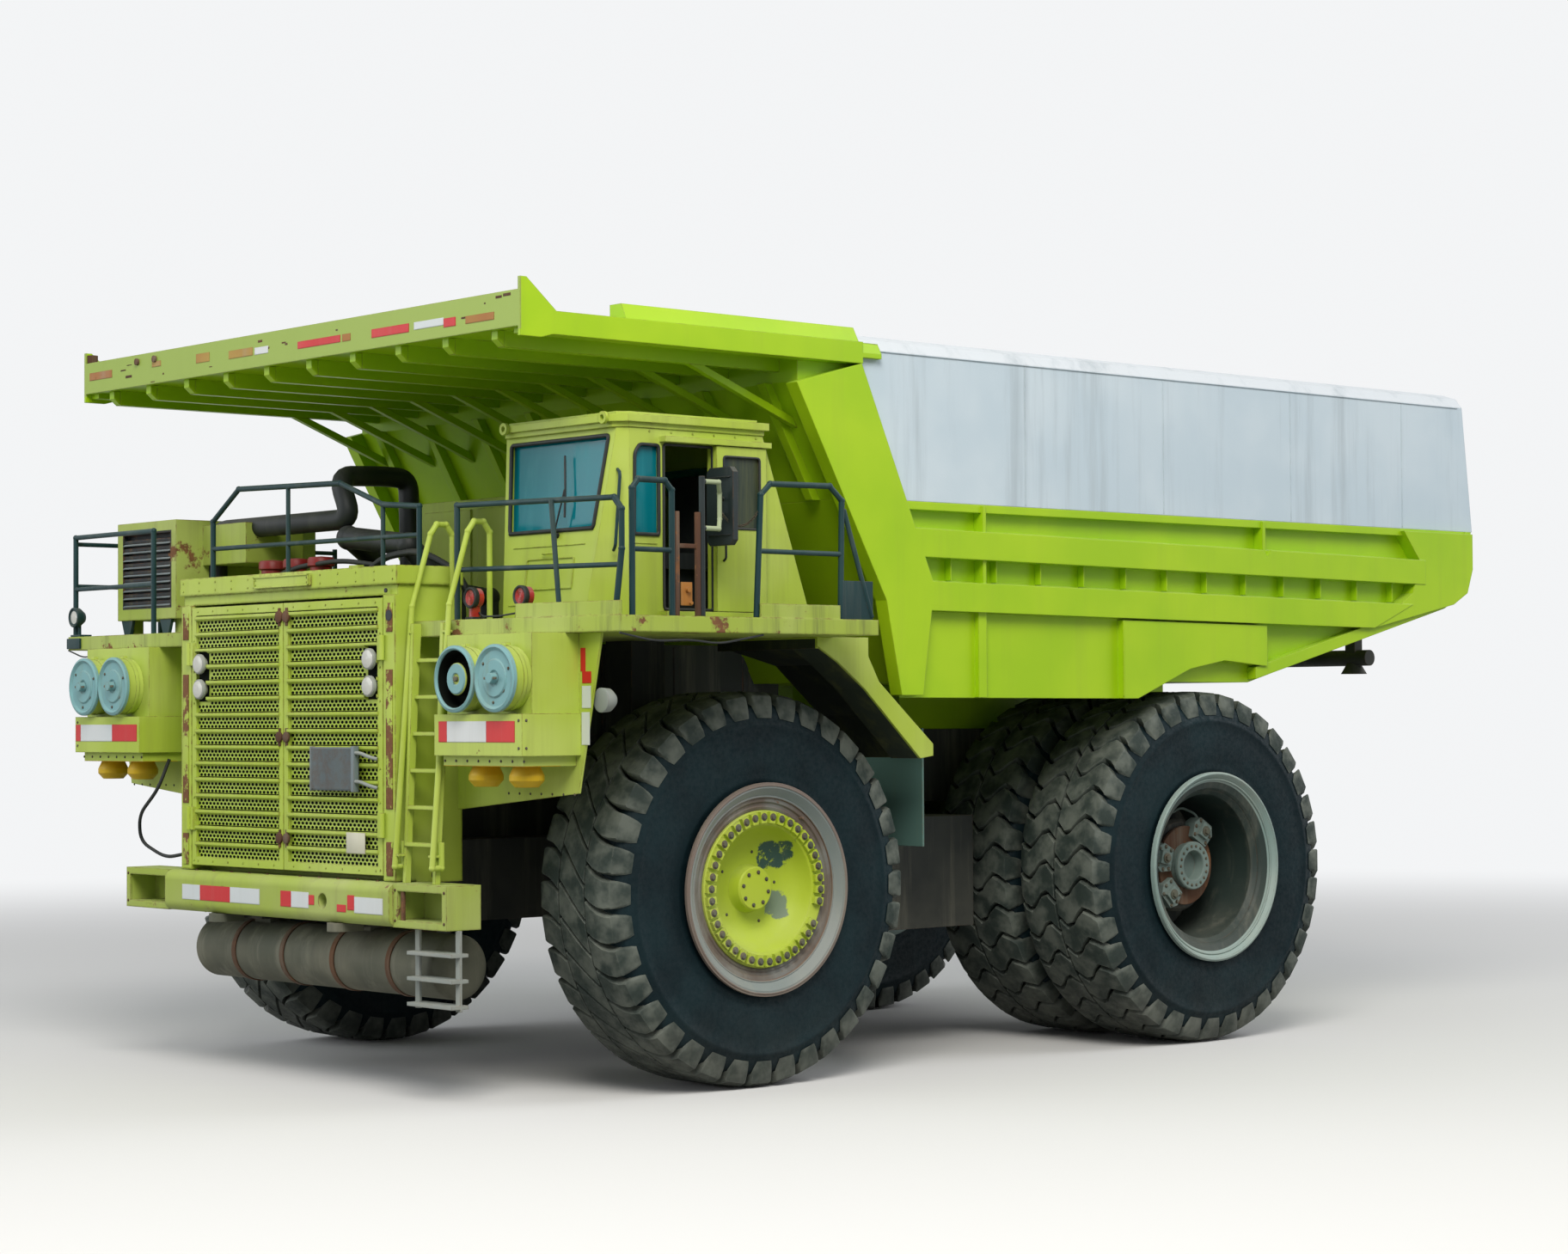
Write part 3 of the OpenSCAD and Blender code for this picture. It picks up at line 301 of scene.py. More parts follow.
paints = {
    "limePaint": lime,
    "canopyPaint": {**lime, "rust": 0.12, "wear": 0.7, "rustScale": 1.6, "zones": [
        {"lo": (2.60, None, 5.95), "colour": (0.31, 0.42, 0.07)}]},
    "palePaint": pale,
    "wornPaint": worn,
    "deckPaint": {**worn, "rust": 0.5, "streaks": 0.7, "streakColour": (0.10, 0.11, 0.04)},
    "housingPaint": {**pale, "rust": 0.34, "wear": 1.0, "wearWidth": 0.03},
    "drumPaint": {**pale, "rust": 0.12, "zones": [
        {"lo": (2.702, None, None), "colour": (0.19, 0.38, 0.39)}]},
    "boxPaint": {**pale, "zones": [
        {"lo": (2.25, None, None), "hi": (None, None, 2.645), "colour": (0.62, 0.40, 0.008)}]},
    "guardPaintUnderShade": {**pale, "zones": [
        # the first zone is painted shade: the mudguard inboard of its outer edge and below 3.64 m is painted
        # near black where the deck shades it
        {"hi": (None, 3.325, 3.64), "mirror": True, "colour": (0.022, 0.030, 0.020)},
        {"hi": (-1.9, None, None), "colour": (0.11, 0.21, 0.18)}]},
    "gridPaintGapShade": {**worn, "zones": [
        # the black zone behind the louvres is painted shade in the gaps between them
        {"lo": (2.05, -3.36, 4.02), "hi": (2.19, -2.5, 4.72), "colour": black}]},
    "doorPaintWindowShade": {**pale, "zones": [
        # the door's window is a near black panel: painted shade of the cab behind the glass
        {"lo": (0.30, 3.379, 4.48), "hi": (0.72, 3.399, 5.1), "colour": (0.008, 0.020, 0.020)}]},
    "mirrorPaint": {"paint": (0.010, 0.016, 0.017), "faded": (0.018, 0.028, 0.028), "rust": 0.05,
                    "streaks": 0.1, "zones": [{"lo": (1.035, None, 4.42), "hi": (1.26, None, 4.87),
                                               "colour": (0.34, 0.40, 0.24)}]},
    "tankWhite": {"paint": (0.53, 0.63, 0.69), "faded": (0.60, 0.69, 0.74), "streaks": 0.55, "rust": 0.0,
                  "streakColour": (0.34, 0.40, 0.43), "rough": 0.55, "gloss": 0.2, "dustTop": 0.15,
                  "dustLow": 0.0, "wear": 0.2, "streakScale": 2.6,
                  "zones": [{"lo": (None, None, 6.055), "colour": (0.64, 0.68, 0.71)}]},
    "railGreen": {"paint": (0.006, 0.028, 0.032), "faded": (0.016, 0.048, 0.050), "gloss": 0.2,
                  "streaks": 0.1, "rust": 0.1, "rough": 0.4, "wearWidth": 0.008, "dust": 0.25},
    "darkSteel": {"paint": (0.022, 0.026, 0.025), "faded": (0.045, 0.048, 0.042), "streaks": 0.25,
                  "rust": 0.2, "rough": 0.65, "dust": 0.45},
    "dustySteel": {"paint": (0.065, 0.072, 0.05), "faded": (0.12, 0.12, 0.085), "streaks": 0.3, "rust": 0.3,
                   "rough": 0.65, "dust": 0.4, "dustReach": 3.0},
    "frontRim": {"paint": (0.19, 0.225, 0.215), "faded": (0.27, 0.29, 0.275), "streaks": 0.25, "rust": 0.22,
                 "rough": 0.5, "rustScale": 4.0, "dust": 0.4, "wear": 0.6, "zones": rimRings},
    "rearRim": {"paint": (0.25, 0.35, 0.32), "faded": (0.34, 0.42, 0.38), "streaks": 0.2, "rust": 0.1,
                "rough": 0.5, "dust": 0.3, "wear": 0.4, "zones": rearRecessShade},
    "motorPaint": {"paint": (0.016, 0.022, 0.022), "faded": (0.030, 0.040, 0.038), "rust": 0.1, "rough": 0.6,
                   "zones": [{"lo": (None, 2.555, None), "hi": (None, 2.602, None), "mirror": True,
                              "colour": (0.14, 0.065, 0.035)},
                             {"lo": (None, 2.605, None), "mirror": True, "colour": (0.26, 0.31, 0.28)}]},
    "hubYellow": {"paint": (0.44, 0.55, 0.03), "faded": (0.50, 0.60, 0.07), "streaks": 0.15, "rust": 0.15,
                  "rough": 0.48, "zones": hubPatches},
    "rimBand": {"paint": (0.135, 0.105, 0.085), "faded": (0.20, 0.20, 0.185), "streaks": 0.3, "rust": 0.35,
                "waves": 3.0, "rustScale": 3.0, "rough": 0.6, "dust": 0.3},
    "plainGrey": {"paint": (0.26, 0.29, 0.27), "faded": (0.34, 0.36, 0.33), "streaks": 0.25, "rust": 0.25,
                  "rough": 0.6},
    "coolerGrey": {"paint": (0.16, 0.20, 0.21), "faded": (0.22, 0.26, 0.27), "streaks": 0.1, "rust": 0.0,
                   "rough": 0.45, "dust": 0.2},
    "brakeTeal": {"paint": (0.13, 0.185, 0.165), "faded": (0.22, 0.28, 0.25), "streaks": 0.15, "rust": 0.15,
                  "rough": 0.6, "dust": 0.2},
    "rustBrown": {"paint": (0.075, 0.034, 0.018), "faded": (0.135, 0.062, 0.030), "streaks": 0.3,
                  "rust": 0.55, "rough": 0.8, "dust": 0.2},
    "edgeRust": {**pale, "rust": 0.80, "rustScale": 4.5, "streaks": 0.5, "streakColour": rustDark},
    # near black, for discs and sheets put where holes and hollows are: painted shade
    "holeDark": {"paint": (0.003, 0.004, 0.003), "faded": (0.006, 0.008, 0.006), "streaks": 0.0, "rust": 0.0,
                 "rough": 0.9, "dust": 0.0, "wear": 0.0, "gloss": 0.05},
    "rustOrange": {"paint": (0.34, 0.14, 0.025), "faded": (0.42, 0.20, 0.05), "rust": 0.35, "rough": 0.7},
    "signalRed": {"paint": (0.20, 0.008, 0.010), "faded": (0.26, 0.02, 0.018), "streaks": 0.15, "rust": 0.1,
                  "rough": 0.42},
    "tapeRed": {"paint": (0.55, 0.012, 0.016), "faded": (0.60, 0.03, 0.03), "streaks": 0.1, "rust": 0.1,
                "rustScale": 7.0, "rough": 0.35, "dust": 0.25, "wear": 0.0},
    "tapeWhite": {"paint": (0.62, 0.66, 0.66), "faded": (0.68, 0.70, 0.69), "streaks": 0.15, "rust": 0.1,
                  "rustScale": 7.0, "rough": 0.35, "dust": 0.3, "wear": 0.0},
    "tapeFaded": {"paint": (0.36, 0.15, 0.045), "faded": (0.42, 0.27, 0.06), "rust": 0.4, "rustScale": 6.0,
                  "rough": 0.6, "wear": 0.0},
    "blankPlate": {"paint": (0.56, 0.55, 0.40), "faded": (0.62, 0.60, 0.48), "rust": 0.1, "rough": 0.5},
    "blackHose": {"paint": black, "faded": (0.020, 0.024, 0.024), "streaks": 0.05, "rust": 0.0, "rough": 0.5,
                  "dust": 0.25, "wear": 0.0},
}
mats = {name: paintMaterial(name, spec) for name, spec in paints.items()}


def rubberMaterial(name, spec):
    mat, tree, shader = startMaterial(name)
    dust = useEffect(tree, "dust", Top=spec["dustTop"], Low=0.8, Reach=0.9, Scale=3.0).outputs["Mask"]
    grain = useEffect(tree, "grain", Scale=45.0, Waves=spec["waves"])
    wear = useEffect(tree, "wear", Width=0.02, Amount=spec["edge"])
    colour = mixColour(tree, grain.outputs["Fade"], spec["dark"], spec["light"])
    colour = mixColour(tree, wear.outputs["Mask"], colour, spec["edgeColour"])
    colour = mixColour(tree, mathNode(tree, "MULTIPLY", dust, spec["dust"]), colour, tyreDust)
    tree.links.new(colour, shader.inputs["Base Color"])
    scratch = noiseNode(tree, objectPlace(tree), 25.0, 6.0, 0.7)
    tree.links.new(mapRange(tree, scratch, 0.3, 0.8, 0.5, 0.9), shader.inputs["Roughness"])
    bump = setIn(addNode(tree, "ShaderNodeBump"), Strength=0.35, Distance=0.01)
    tree.links.new(scratch, bump.inputs["Height"])
    tree.links.new(bump.outputs[0], shader.inputs["Normal"])
    shader.inputs["Specular IOR Level"].default_value = spec["gloss"]
    return mat


rubbers = {
    "sideRubber": {"dark": (0.002, 0.009, 0.012), "light": (0.005, 0.017, 0.021), "waves": 2.0, "edge": 0.2,
                   "edgeColour": (0.03, 0.05, 0.055), "dust": 0.07, "dustTop": 0.2, "gloss": 0.16},
    "treadRubber": {"dark": (0.030, 0.042, 0.036), "light": (0.125, 0.140, 0.118), "waves": 5.0, "edge": 0.8,
                    "edgeColour": (0.17, 0.185, 0.16), "dust": 0.35, "dustTop": 0.5, "gloss": 0.2},
}
for name, spec in rubbers.items():
    mats[name] = rubberMaterial(name, spec)


def glassMaterial(name, tint, rough, alpha, dirtTint=(0.42, 0.42, 0.38), gloss=0.5):
    mat, tree, shader = startMaterial(name)
    dust = useEffect(tree, "dust", Top=0.4, Low=0.0, Scale=2.0)
    streaks = useEffect(tree, "streaks", Scale=6.0, Amount=0.35)
    dirt = mathNode(tree, "MAXIMUM", dust.outputs["Mask"], streaks.outputs["Mask"], True)
    tree.links.new(mixColour(tree, dirt, tint, dirtTint), shader.inputs["Base Color"])
    tree.links.new(mapRange(tree, dirt, 0.0, 1.0, rough, 0.6), shader.inputs["Roughness"])
    tree.links.new(mapRange(tree, dirt, 0.0, 1.0, alpha, min(1.0, alpha + 0.4)), shader.inputs["Alpha"])
    shader.inputs["IOR"].default_value = 1.5
    shader.inputs["Specular IOR Level"].default_value = gloss
    return mat


mats["windowGlass"] = glassMaterial("windowGlass", (0.002, 0.17, 0.21), 0.10, 0.9, (0.03, 0.25, 0.28), 0.22)
mats["lampGlass"] = glassMaterial("lampGlass", (0.62, 0.62, 0.56), 0.12, 0.9)
mats["redGlass"] = glassMaterial("redGlass", (0.35, 0.02, 0.015), 0.15, 1.0)
print("materials built:", len(mats))


# mesh helpers: every piece is gathered in one bmesh, then made an object

class Shape:
    def __init__(self):
        self.bm = bmesh.new()
        self.painted = 0

    # gives the faces made since the last call a material slot
    def paint(self, slot):
        self.bm.faces.ensure_lookup_table()
        for face in self.bm.faces[self.painted:]:
            face.material_index = slot
        self.painted = len(self.bm.faces)
        return self

    # a block between any two opposite corners
    def box(self, p, q, bevel=0.0, turn=None):
        size = [abs(a - b) for a, b in zip(p, q)]
        mid = [(a + b) / 2 for a, b in zip(p, q)]
        made = bmesh.ops.create_cube(self.bm, size=1.0)["verts"]
        bmesh.ops.scale(self.bm, vec=size, verts=made)
        if bevel > 0:
            edges = list({e for v in made for e in v.link_edges})
            bevelled = bmesh.ops.bevel(self.bm, geom=edges, offset=bevel, segments=2, affect="EDGES",
                                       profile=0.7)
            made = list({v for f in bevelled["faces"] for v in f.verts} | {v for v in made if v.is_valid})
        if turn is not None:
            bmesh.ops.transform(self.bm, matrix=turn, verts=made)
        bmesh.ops.translate(self.bm, vec=mid, verts=made)
        return self

    def rod(self, p, q, r, sides=12):
        p, q = Vector(p), Vector(q)
        run = q - p
        made = bmesh.ops.create_cone(self.bm, cap_ends=True, segments=sides, radius1=r, radius2=r,
                                     depth=run.length)
        lay = Matrix.Translation((p + q) / 2) @ run.to_track_quat("Z", "Y").to_matrix().to_4x4()
        bmesh.ops.transform(self.bm, matrix=lay, verts=made["verts"])
        return self

    def pipe(self, points, r, sides=12, bend=0.0):
        path = [Vector(p) for p in points]
        if bend > 0:
            path = roundPath(path, bend)
        rings = []
        side = None
        for i, p in enumerate(path):
            run = (path[min(i + 1, len(path) - 1)] - path[max(i - 1, 0)]).normalized()
            if side is None:
                side = run.orthogonal().normalized()
            side = (side - run * side.dot(run)).normalized()
            other = run.cross(side)
            rings.append([self.bm.verts.new(p + (side * math.cos(a) + other * math.sin(a)) * r)
                          for a in (2 * math.pi * k / sides for k in range(sides))])
        for a, b in zip(rings, rings[1:]):
            for k in range(sides):
                self.bm.faces.new((a[k], a[(k + 1) % sides], b[(k + 1) % sides], b[k]))
        self.bm.faces.new(rings[0][::-1])
        self.bm.faces.new(rings[-1])
        return self

    # turns a closed outline of (radius, height) points about the frame's Z
    def spin(self, profile, lay, steps=48):
        rings = []
        for a in (2 * math.pi * k / steps for k in range(steps)):
            around = Vector((math.cos(a), math.sin(a), 0))
            rings.append([self.bm.verts.new(lay @ (around * r + Vector((0, 0, z)))) for r, z in profile])
        count = len(profile)
        for k in range(steps):
            a, b = rings[k], rings[(k + 1) % steps]
            for i in range(count):
                j = (i + 1) % count
                self.bm.faces.new((a[i], b[i], b[j], a[j]))
        return self

    def prism(self, points, lay, depth):
        low = [self.bm.verts.new(lay @ Vector((x, y, 0.0))) for x, y in points]
        high = [self.bm.verts.new(lay @ Vector((x, y, depth))) for x, y in points]
        self.bm.faces.new(low[::-1])
        self.bm.faces.new(high)
        for i in range(len(points)):
            j = (i + 1) % len(points)
            self.bm.faces.new((low[i], low[j], high[j], high[i]))
        return self

    # a hexagon head on a washer
    def bolt(self, at, out, size):
        at, out = Vector(at), Vector(out) * size
        self.rod(at - out * 0.2, at + out * 0.55, size * 0.62, 6)
        return self.rod(at - out * 0.1, at + out * 0.18, size * 0.95)

    def done(self, name, mat, body="chassis", smooth=True, angle=35):
        bmesh.ops.remove_doubles(self.bm, verts=self.bm.verts, dist=1e-6)
        bmesh.ops.recalc_face_normals(self.bm, faces=self.bm.faces)
        bmesh.ops.translate(self.bm, vec=(axleShift, 0, 0), verts=self.bm.verts)
        mesh = bpy.data.meshes.new(name)
        self.bm.to_mesh(mesh)
        self.bm.free()
        obj = bpy.data.objects.new(name, mesh)
        bpy.context.scene.collection.objects.link(obj)
        for slot in (mat,) if isinstance(mat, str) else mat:
            mesh.materials.append(mats[slot])
        if smooth:
            smoothMesh(mesh, angle)
        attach(obj, body)
        return obj


def smoothMesh(mesh, angle):
    mesh.polygons.foreach_set("use_smooth", [True] * len(mesh.polygons))
    mesh.set_sharp_from_angle(angle=math.radians(angle))


def roundPath(path, radius):
    out = [path[0]]
    for a, b, c in zip(path, path[1:], path[2:]):
        cut = min(radius, (a - b).length * 0.45, (c - b).length * 0.45)
        start, stop = b + (a - b).normalized() * cut, b + (c - b).normalized() * cut
        for k in range(7):
            t = k / 6
            out.append(start * (1 - t) ** 2 + b * 2 * t * (1 - t) + stop * t * t)
    out.append(path[-1])
    return out


# frames for spun pieces: about an axle, about a line that faces ahead, and at an angle round a wheel

def axleFrame(x, y, out):
    return Matrix.Translation((x, y, axleZ)) @ Matrix.Rotation(-math.pi / 2 * out, 4, "X")


def facing(x, y, z):
    return Matrix.Translation((x, y, z)) @ Matrix.Rotation(math.pi / 2, 4, "Y")


def wheelFrame(x, y, out, angle):
    radial = Vector((math.cos(angle), 0, math.sin(angle)))
    axial = Vector((0, out, 0))
    turn = Matrix((radial, axial.cross(radial), axial)).transposed().to_4x4()
    return Matrix.Translation((x, y, axleZ)) @ turn


# outline of a round wire, for a ring on a rim
def wireOutline(r, z, thick):
    return [(r + thick * math.cos(a), z + thick * math.sin(a)) for a in (math.pi * k / 4 for k in range(8))]


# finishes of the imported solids

nodeFinish = {
    "frame": "darkSteel", "front_bumper": "wornPaint", "bumper_ladder": "plainGrey", "tow_eyes": "dustySteel",
    "engine": "darkSteel", "radiator_housing": "housingPaint", "radiator_core": "darkSteel",
    "grille_door_left": "palePaint", "grille_door_right": "palePaint", "headlamps_left": "lampGlass",
    "headlamps_right": "lampGlass", "air_cleaners": "drumPaint", "air_cleaner_boxes": "boxPaint",
    "deck_left": "deckPaint", "deck_right": "deckPaint", "deck_lamps": "redGlass",
    "hand_rails_left": "railGreen", "hand_rails_front": "railGreen", "hand_rails_right": "railGreen",
    "boarding_ladder": "palePaint", "mudguards": "guardPaintUnderShade", "cab_shell": "palePaint",
    "cab_roof": "palePaint", "cab_glass": "windowGlass", "cab_inside": "blackHose", "cab_door": "doorPaintWindowShade",
    "mirror_left": "mirrorPaint", "control_cabinet": "palePaint", "grid_box": "gridPaintGapShade",
    "intake_pipes": "blackHose", "air_tank": "dustySteel", "fuel_tank": "darkSteel", "oil_tank": "darkSteel",
    "front_struts": "darkSteel", "knuckle_left": "darkSteel", "knuckle_right": "darkSteel",
    "rim_front_left": "frontRim", "rim_front_right": "frontRim", "tyre_front_left": "sideRubber",
    "tyre_front_right": "sideRubber", "rear_axle": "darkSteel", "rear_struts": "darkSteel",
    "wheel_motors": "motorPaint", "rim_rear_left": "rearRim", "rim_rear_right": "rearRim",
    "tyres_rear_left": "sideRubber", "tyres_rear_right": "sideRubber", "body_floor": "limePaint",
    "body_sides": "limePaint", "tank": "tankWhite", "canopy": "canopyPaint", "filler_lid": "signalRed",
    "spray_bar": "darkSteel",
}
for name, obj in nodes.items():
    obj.data.materials.clear()
    obj.data.materials.append(mats[nodeFinish.get(name, "plainGrey")])
    smoothMesh(obj.data, 30)
print("finishes set on the solids")


# tyres: a carcass with sidewall rings and separate tread blocks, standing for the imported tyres

tyreSpec = {"lugs": 36, "tip": 1.608, "foot": 1.515, "turn": -math.pi / 2,
            "side": [(0.7003, 0.4116), (0.735, 0.432), (0.81, 0.4508), (0.872, 0.468), (0.905, 0.4785),
                     (0.93, 0.4715), (0.96, 0.480), (1.05, 0.4875), (1.12, 0.490), (1.22, 0.489),
                     (1.31, 0.4830), (1.322, 0.4895), (1.345, 0.4880), (1.357, 0.4790), (1.41, 0.4680),
                     (1.465, 0.4480), (1.505, 0.4100), (1.520, 0.35), (1.524, 0.15)]}


# a block's stations: width from the middle, tip and foot radius, share of the lug pitch that it fills
def flatStations(*places):
    return [(w, tyreSpec["tip"], tyreSpec["foot"], share) for w, share in places]


shoulder = [(0.479, 1.415, 1.39, 0.30), (0.466, 1.495, 1.43, 0.355), (0.438, 1.572, 1.49, 0.395),
            (0.385, 1.597, 1.51, 0.415), (0.31, 1.605, 1.515, 0.435)]
shoulder += flatStations((0.24, 0.45), (0.172, 0.46))
centreBlock = flatStations(*((w, 0.46) for w in (0.156, 0.08, 0.0, -0.08, -0.156)))
longBlock = shoulder + flatStations((0.10, 0.44), (0.012, 0.43))


# how far a row of blocks runs ahead at a width from the middle
def frontPath(w):
    return -0.95 * math.sin(max(-1.0, min(1.0, w / 0.40)) * math.pi / 2)


def rearPath(w):
    bow = 0.30 * math.sin((0.43 - min(0.43, abs(w))) * 15.0)
    return bow if w >= 0 else -bow


# blocks: side, stations and shift along the pitch
treads = {
    "front": {"blocks": [(1, shoulder, 0.0), (-1, shoulder, 0.0), (1, centreBlock, 0.34)],
              "path": frontPath},
    "rear": {"blocks": [(1, longBlock, 0.0), (-1, longBlock, 0.5)],
             "path": rearPath},
}


def lugBlock(shape, middle, out, turn, block, tread):
    flip, stations, shift = block
    pitch = 2 * math.pi / tyreSpec["lugs"]
    rings = []
    for width, top, base, share in stations:
        w = width * flip
        a = turn + (shift + treads[tread]["path"](w)) * pitch
        half, edge = share * pitch, 0.012 / top
        corners = [(-half * 1.04, base), (-half, top - 0.014), (-half + edge, top), (half - edge, top),
                   (half, top - 0.014), (half * 1.04, base)]
        rings.append([shape.bm.verts.new((middle[0] + r * math.cos(a + d), middle[1] + out * w,
                                          middle[2] + r * math.sin(a + d))) for d, r in corners])
    for one, two in zip(rings, rings[1:]):
        for k in range(5):
            shape.bm.faces.new((one[k], one[k + 1], two[k + 1], two[k]))
    shape.bm.faces.new(rings[0])
    shape.bm.faces.new(rings[-1][::-1])


def addTyre(shape, x, y, out, tread):
    side = tyreSpec["side"]
    shape.spin(side + [(r, -w) for r, w in reversed(side)], axleFrame(x, y, out), 108).paint(0)
    for k in range(tyreSpec["lugs"]):
        turn = tyreSpec["turn"] + k * 2 * math.pi / tyreSpec["lugs"]
        for block in treads[tread]["blocks"]:
            lugBlock(shape, (x, y, axleZ), out, turn, block, tread)
    shape.paint(1)


for end, x, node, body in (("front", 0.0, "tyre_front_", "wheel_front_"),
                           ("rear", rearAxle, "tyres_rear_", "wheels_rear_")):
    for side, out in leftRight:
        shape = Shape()
        for y in wheelY[end]:
            addTyre(shape, x, out * y, out, end)
        name = (node + side).replace("_", " ").title().replace(" ", "")
        tyre = shape.done(name, ("sideRubber", "treadRubber"), body + side, angle=40)
        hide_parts(node + side)
print("tyres built")


# hubs and rims; a bolt circle has its count, first angle, radius, face and bolt size

def boltCircle(shape, x, y, out, circle):
    count, start, r, face, size = circle
    for k in range(count):
        at = wheelFrame(x, y, out, 2 * math.pi * k / count + start)
        shape.bolt(at @ Vector((r, 0, face)), (0, out, 0), size)


hubSpec = {"wedges": 38, "lost": 21, "ring": 0.587, "face": 0.478, "nut": 0.034,
           "wedge": [(0.535, -0.030), (0.628, -0.036), (0.628, 0.036), (0.535, 0.030)], "wedgeThick": 0.045,
           "circles": [(8, 0.2, 0.135, 0.378, 0.018), (5, 0.5, 0.30, 0.262, 0.014)],
           "dish": [(0.640, 0.43), (0.640, 0.470), (0.632, 0.477), (0.535, 0.480), (0.519, 0.472),
                    (0.506, 0.44), (0.478, 0.37), (0.42, 0.305), (0.34, 0.268), (0.25, 0.256), (0.20, 0.262),
                    (0.186, 0.285), (0.180, 0.362), (0.168, 0.376), (0.0, 0.378), (0.0, 0.23), (0.40, 0.25),
                    (0.50, 0.36), (0.60, 0.42)],
           "band": [(0.636, 0.425), (0.641, 0.452), (0.668, 0.462), (0.676, 0.452), (0.70, 0.456),
                    (0.708, 0.470), (0.748, 0.476), (0.752, 0.40), (0.70, 0.385)],
           "wires": ((0.752, 0.480), (0.842, 0.535)), "valve": (0.70, 0.44, 0.50)}


def dressHub(side, out):
    spec, y, body = hubSpec, wheelY["front"][0] * out, "wheel_front_" + side
    dish, band, wedges, nuts, trims = (Shape() for k in range(5))
    for k in range(spec["wedges"]):
        if out > 0 and k == spec["lost"]:
            continue
        at = wheelFrame(0, y, out, 2 * math.pi * k / spec["wedges"] + 0.04)
        wedges.prism(spec["wedge"], at @ Matrix.Translation((0, 0, spec["face"] - 0.01)), spec["wedgeThick"])
        nuts.bolt(at @ Vector((spec["ring"], 0, spec["face"] + 0.03)), (0, out, 0), spec["nut"])
    for circle in spec["circles"]:
        boltCircle(nuts, 0, y, out, circle)
    lay = axleFrame(0, y, out)
    for r, z in spec["wires"]:
        trims.spin(wireOutline(r, z, 0.012), lay, 72)
    r, low, high = spec["valve"]
    at = wheelFrame(0, y, out, 2.2)
    trims.rod(at @ Vector((r, 0, low)), at @ Vector((r, 0, high)), 0.012)
    dish.spin(spec["dish"], lay, 72).done("hubDish" + side.title(), "hubYellow", body)
    band.spin(spec["band"], lay, 72).done("rimBand" + side.title(), "rimBand", body)
    wedges.done("hubWedges" + side.title(), "hubYellow", body)
    nuts.done("hubNuts" + side.title(), "dustySteel", body)
    trims.done("rimRings" + side.title(), "frontRim", body)


# the brake on the wheel motor's end; depths are from its end face
brakeSpec = {"end": 3.03, "calipers": (121, 13, -44), "circle": (18, 0.0, 0.180, 0.008, 0.015),
             "barrel": [(0.0, -0.45), (0.43, -0.45), (0.43, -0.20), (0.40, -0.16), (0.0, -0.16)],
             "disc": [(0.19, -0.13), (0.195, -0.135), (0.36, -0.135), (0.365, -0.13), (0.365, -0.10),
                      (0.36, -0.095), (0.19, -0.095)],
             "ring": [(0.0, -0.16), (0.205, -0.16), (0.205, -0.04), (0.222, -0.03), (0.222, 0.0),
                      (0.214, 0.008), (0.142, 0.008), (0.135, 0.0), (0.130, -0.10), (0.0, -0.10)],
             "block": [(0.25, -0.10), (0.38, -0.135), (0.46, -0.085), (0.46, 0.085), (0.38, 0.135),
                       (0.25, 0.10)],
             "cap": [(0.30, -0.055), (0.43, -0.06), (0.43, 0.06), (0.30, 0.055)],
             "blockBolts": ((0.285, 0.085), (0.435, 0.075), (0.36, 0.105)),
             "line": ((0.44, 0.05, -0.09), (0.49, 0.10, -0.12), (0.50, 0.20, -0.22), (0.42, 0.24, -0.26)),
             "lip": ((0.85, 3.318), (0.80, 3.281))}


def dressBrake(side, out):
    spec = brakeSpec
    y = spec["end"] * out
    lay = axleFrame(rearAxle, y, out)
    barrel, disc, bolts, flats, lip = (Shape() for k in range(5))
    flats.spin(spec["ring"], lay, 56)
    boltCircle(bolts, rearAxle, y, out, spec["circle"])
    for angle in spec["calipers"]:
        at = wheelFrame(rearAxle, y, out, math.radians(angle))
        flats.prism(spec["block"], at @ Matrix.Translation((0, 0, -0.17)), 0.13)
        flats.prism(spec["cap"], at @ Matrix.Translation((0, 0, -0.05)), 0.045)
        for r, along in spec["blockBolts"]:
            for flip in (-1, 1):
                bolts.bolt(at @ Vector((r, flip * along, -0.04)), (0, out, 0), 0.02)
        bolts.bolt(at @ Vector((0.365, 0, -0.005)), (0, out, 0), 0.05)
        flats.pipe([at @ Vector(p) for p in spec["line"]], 0.012, 8, 0.05)
    barrel.spin(spec["barrel"], lay, 64).done("brakeBarrel" + side.title(), "darkSteel")
    disc.spin(spec["disc"], lay, 64).done("brakeDisc" + side.title(), "rustBrown")
    bolts.done("rearHubBolts" + side.title(), "dustySteel")
    flats.done("brakeCalipers" + side.title(), "brakeTeal")
    for r, z in spec["lip"]:
        lip.spin(wireOutline(r, z, 0.010), axleFrame(rearAxle, 0, out), 72)
    lip.done("rearRimLip" + side.title(), "rearRim", "wheels_rear_" + side)


for side, out in leftRight:
    dressHub(side, out)
    dressBrake(side, out)
print("wheels dressed")


# grille doors: rows of holes on each strip, drawn as flat discs of painted shade, latches, lamp bezels, a
# cooler and a bare plate on the left door

grilleSpec = {"low": 1.83, "pitch": 0.138333, "strips": 15, "face": 2.5752, "from": 0.105, "to": 1.37,
              "step": 0.0585, "rows": (0.16, 0.50, 0.84), "sheet": 0.0913, "hole": (0.0215, 0.0130),
              "skin": 2.60, "lampY": 1.29, "lampZ": (3.27, 3.487), "lampGap": (0.105, 3.13, 3.63),
              "lampPocket": (0.08, 3.165, 3.592),
              "bezel": [(0.078, 2.602), (0.086, 2.610), (0.086, 2.634), (0.078, 2.642), (0.072, 2.640),
                        (0.072, 2.604)],
              "latchY": 0.055, "latches": ((3.86, 0.05), (2.86, 0.045), (2.02, 0.045)),
              "sideBolts": (1.412, [1.80 + 0.27 * k for k in range(8)]),
              "endBolts": ([0.15 + 0.24 * k for k in range(6)], (1.795, 3.94))}
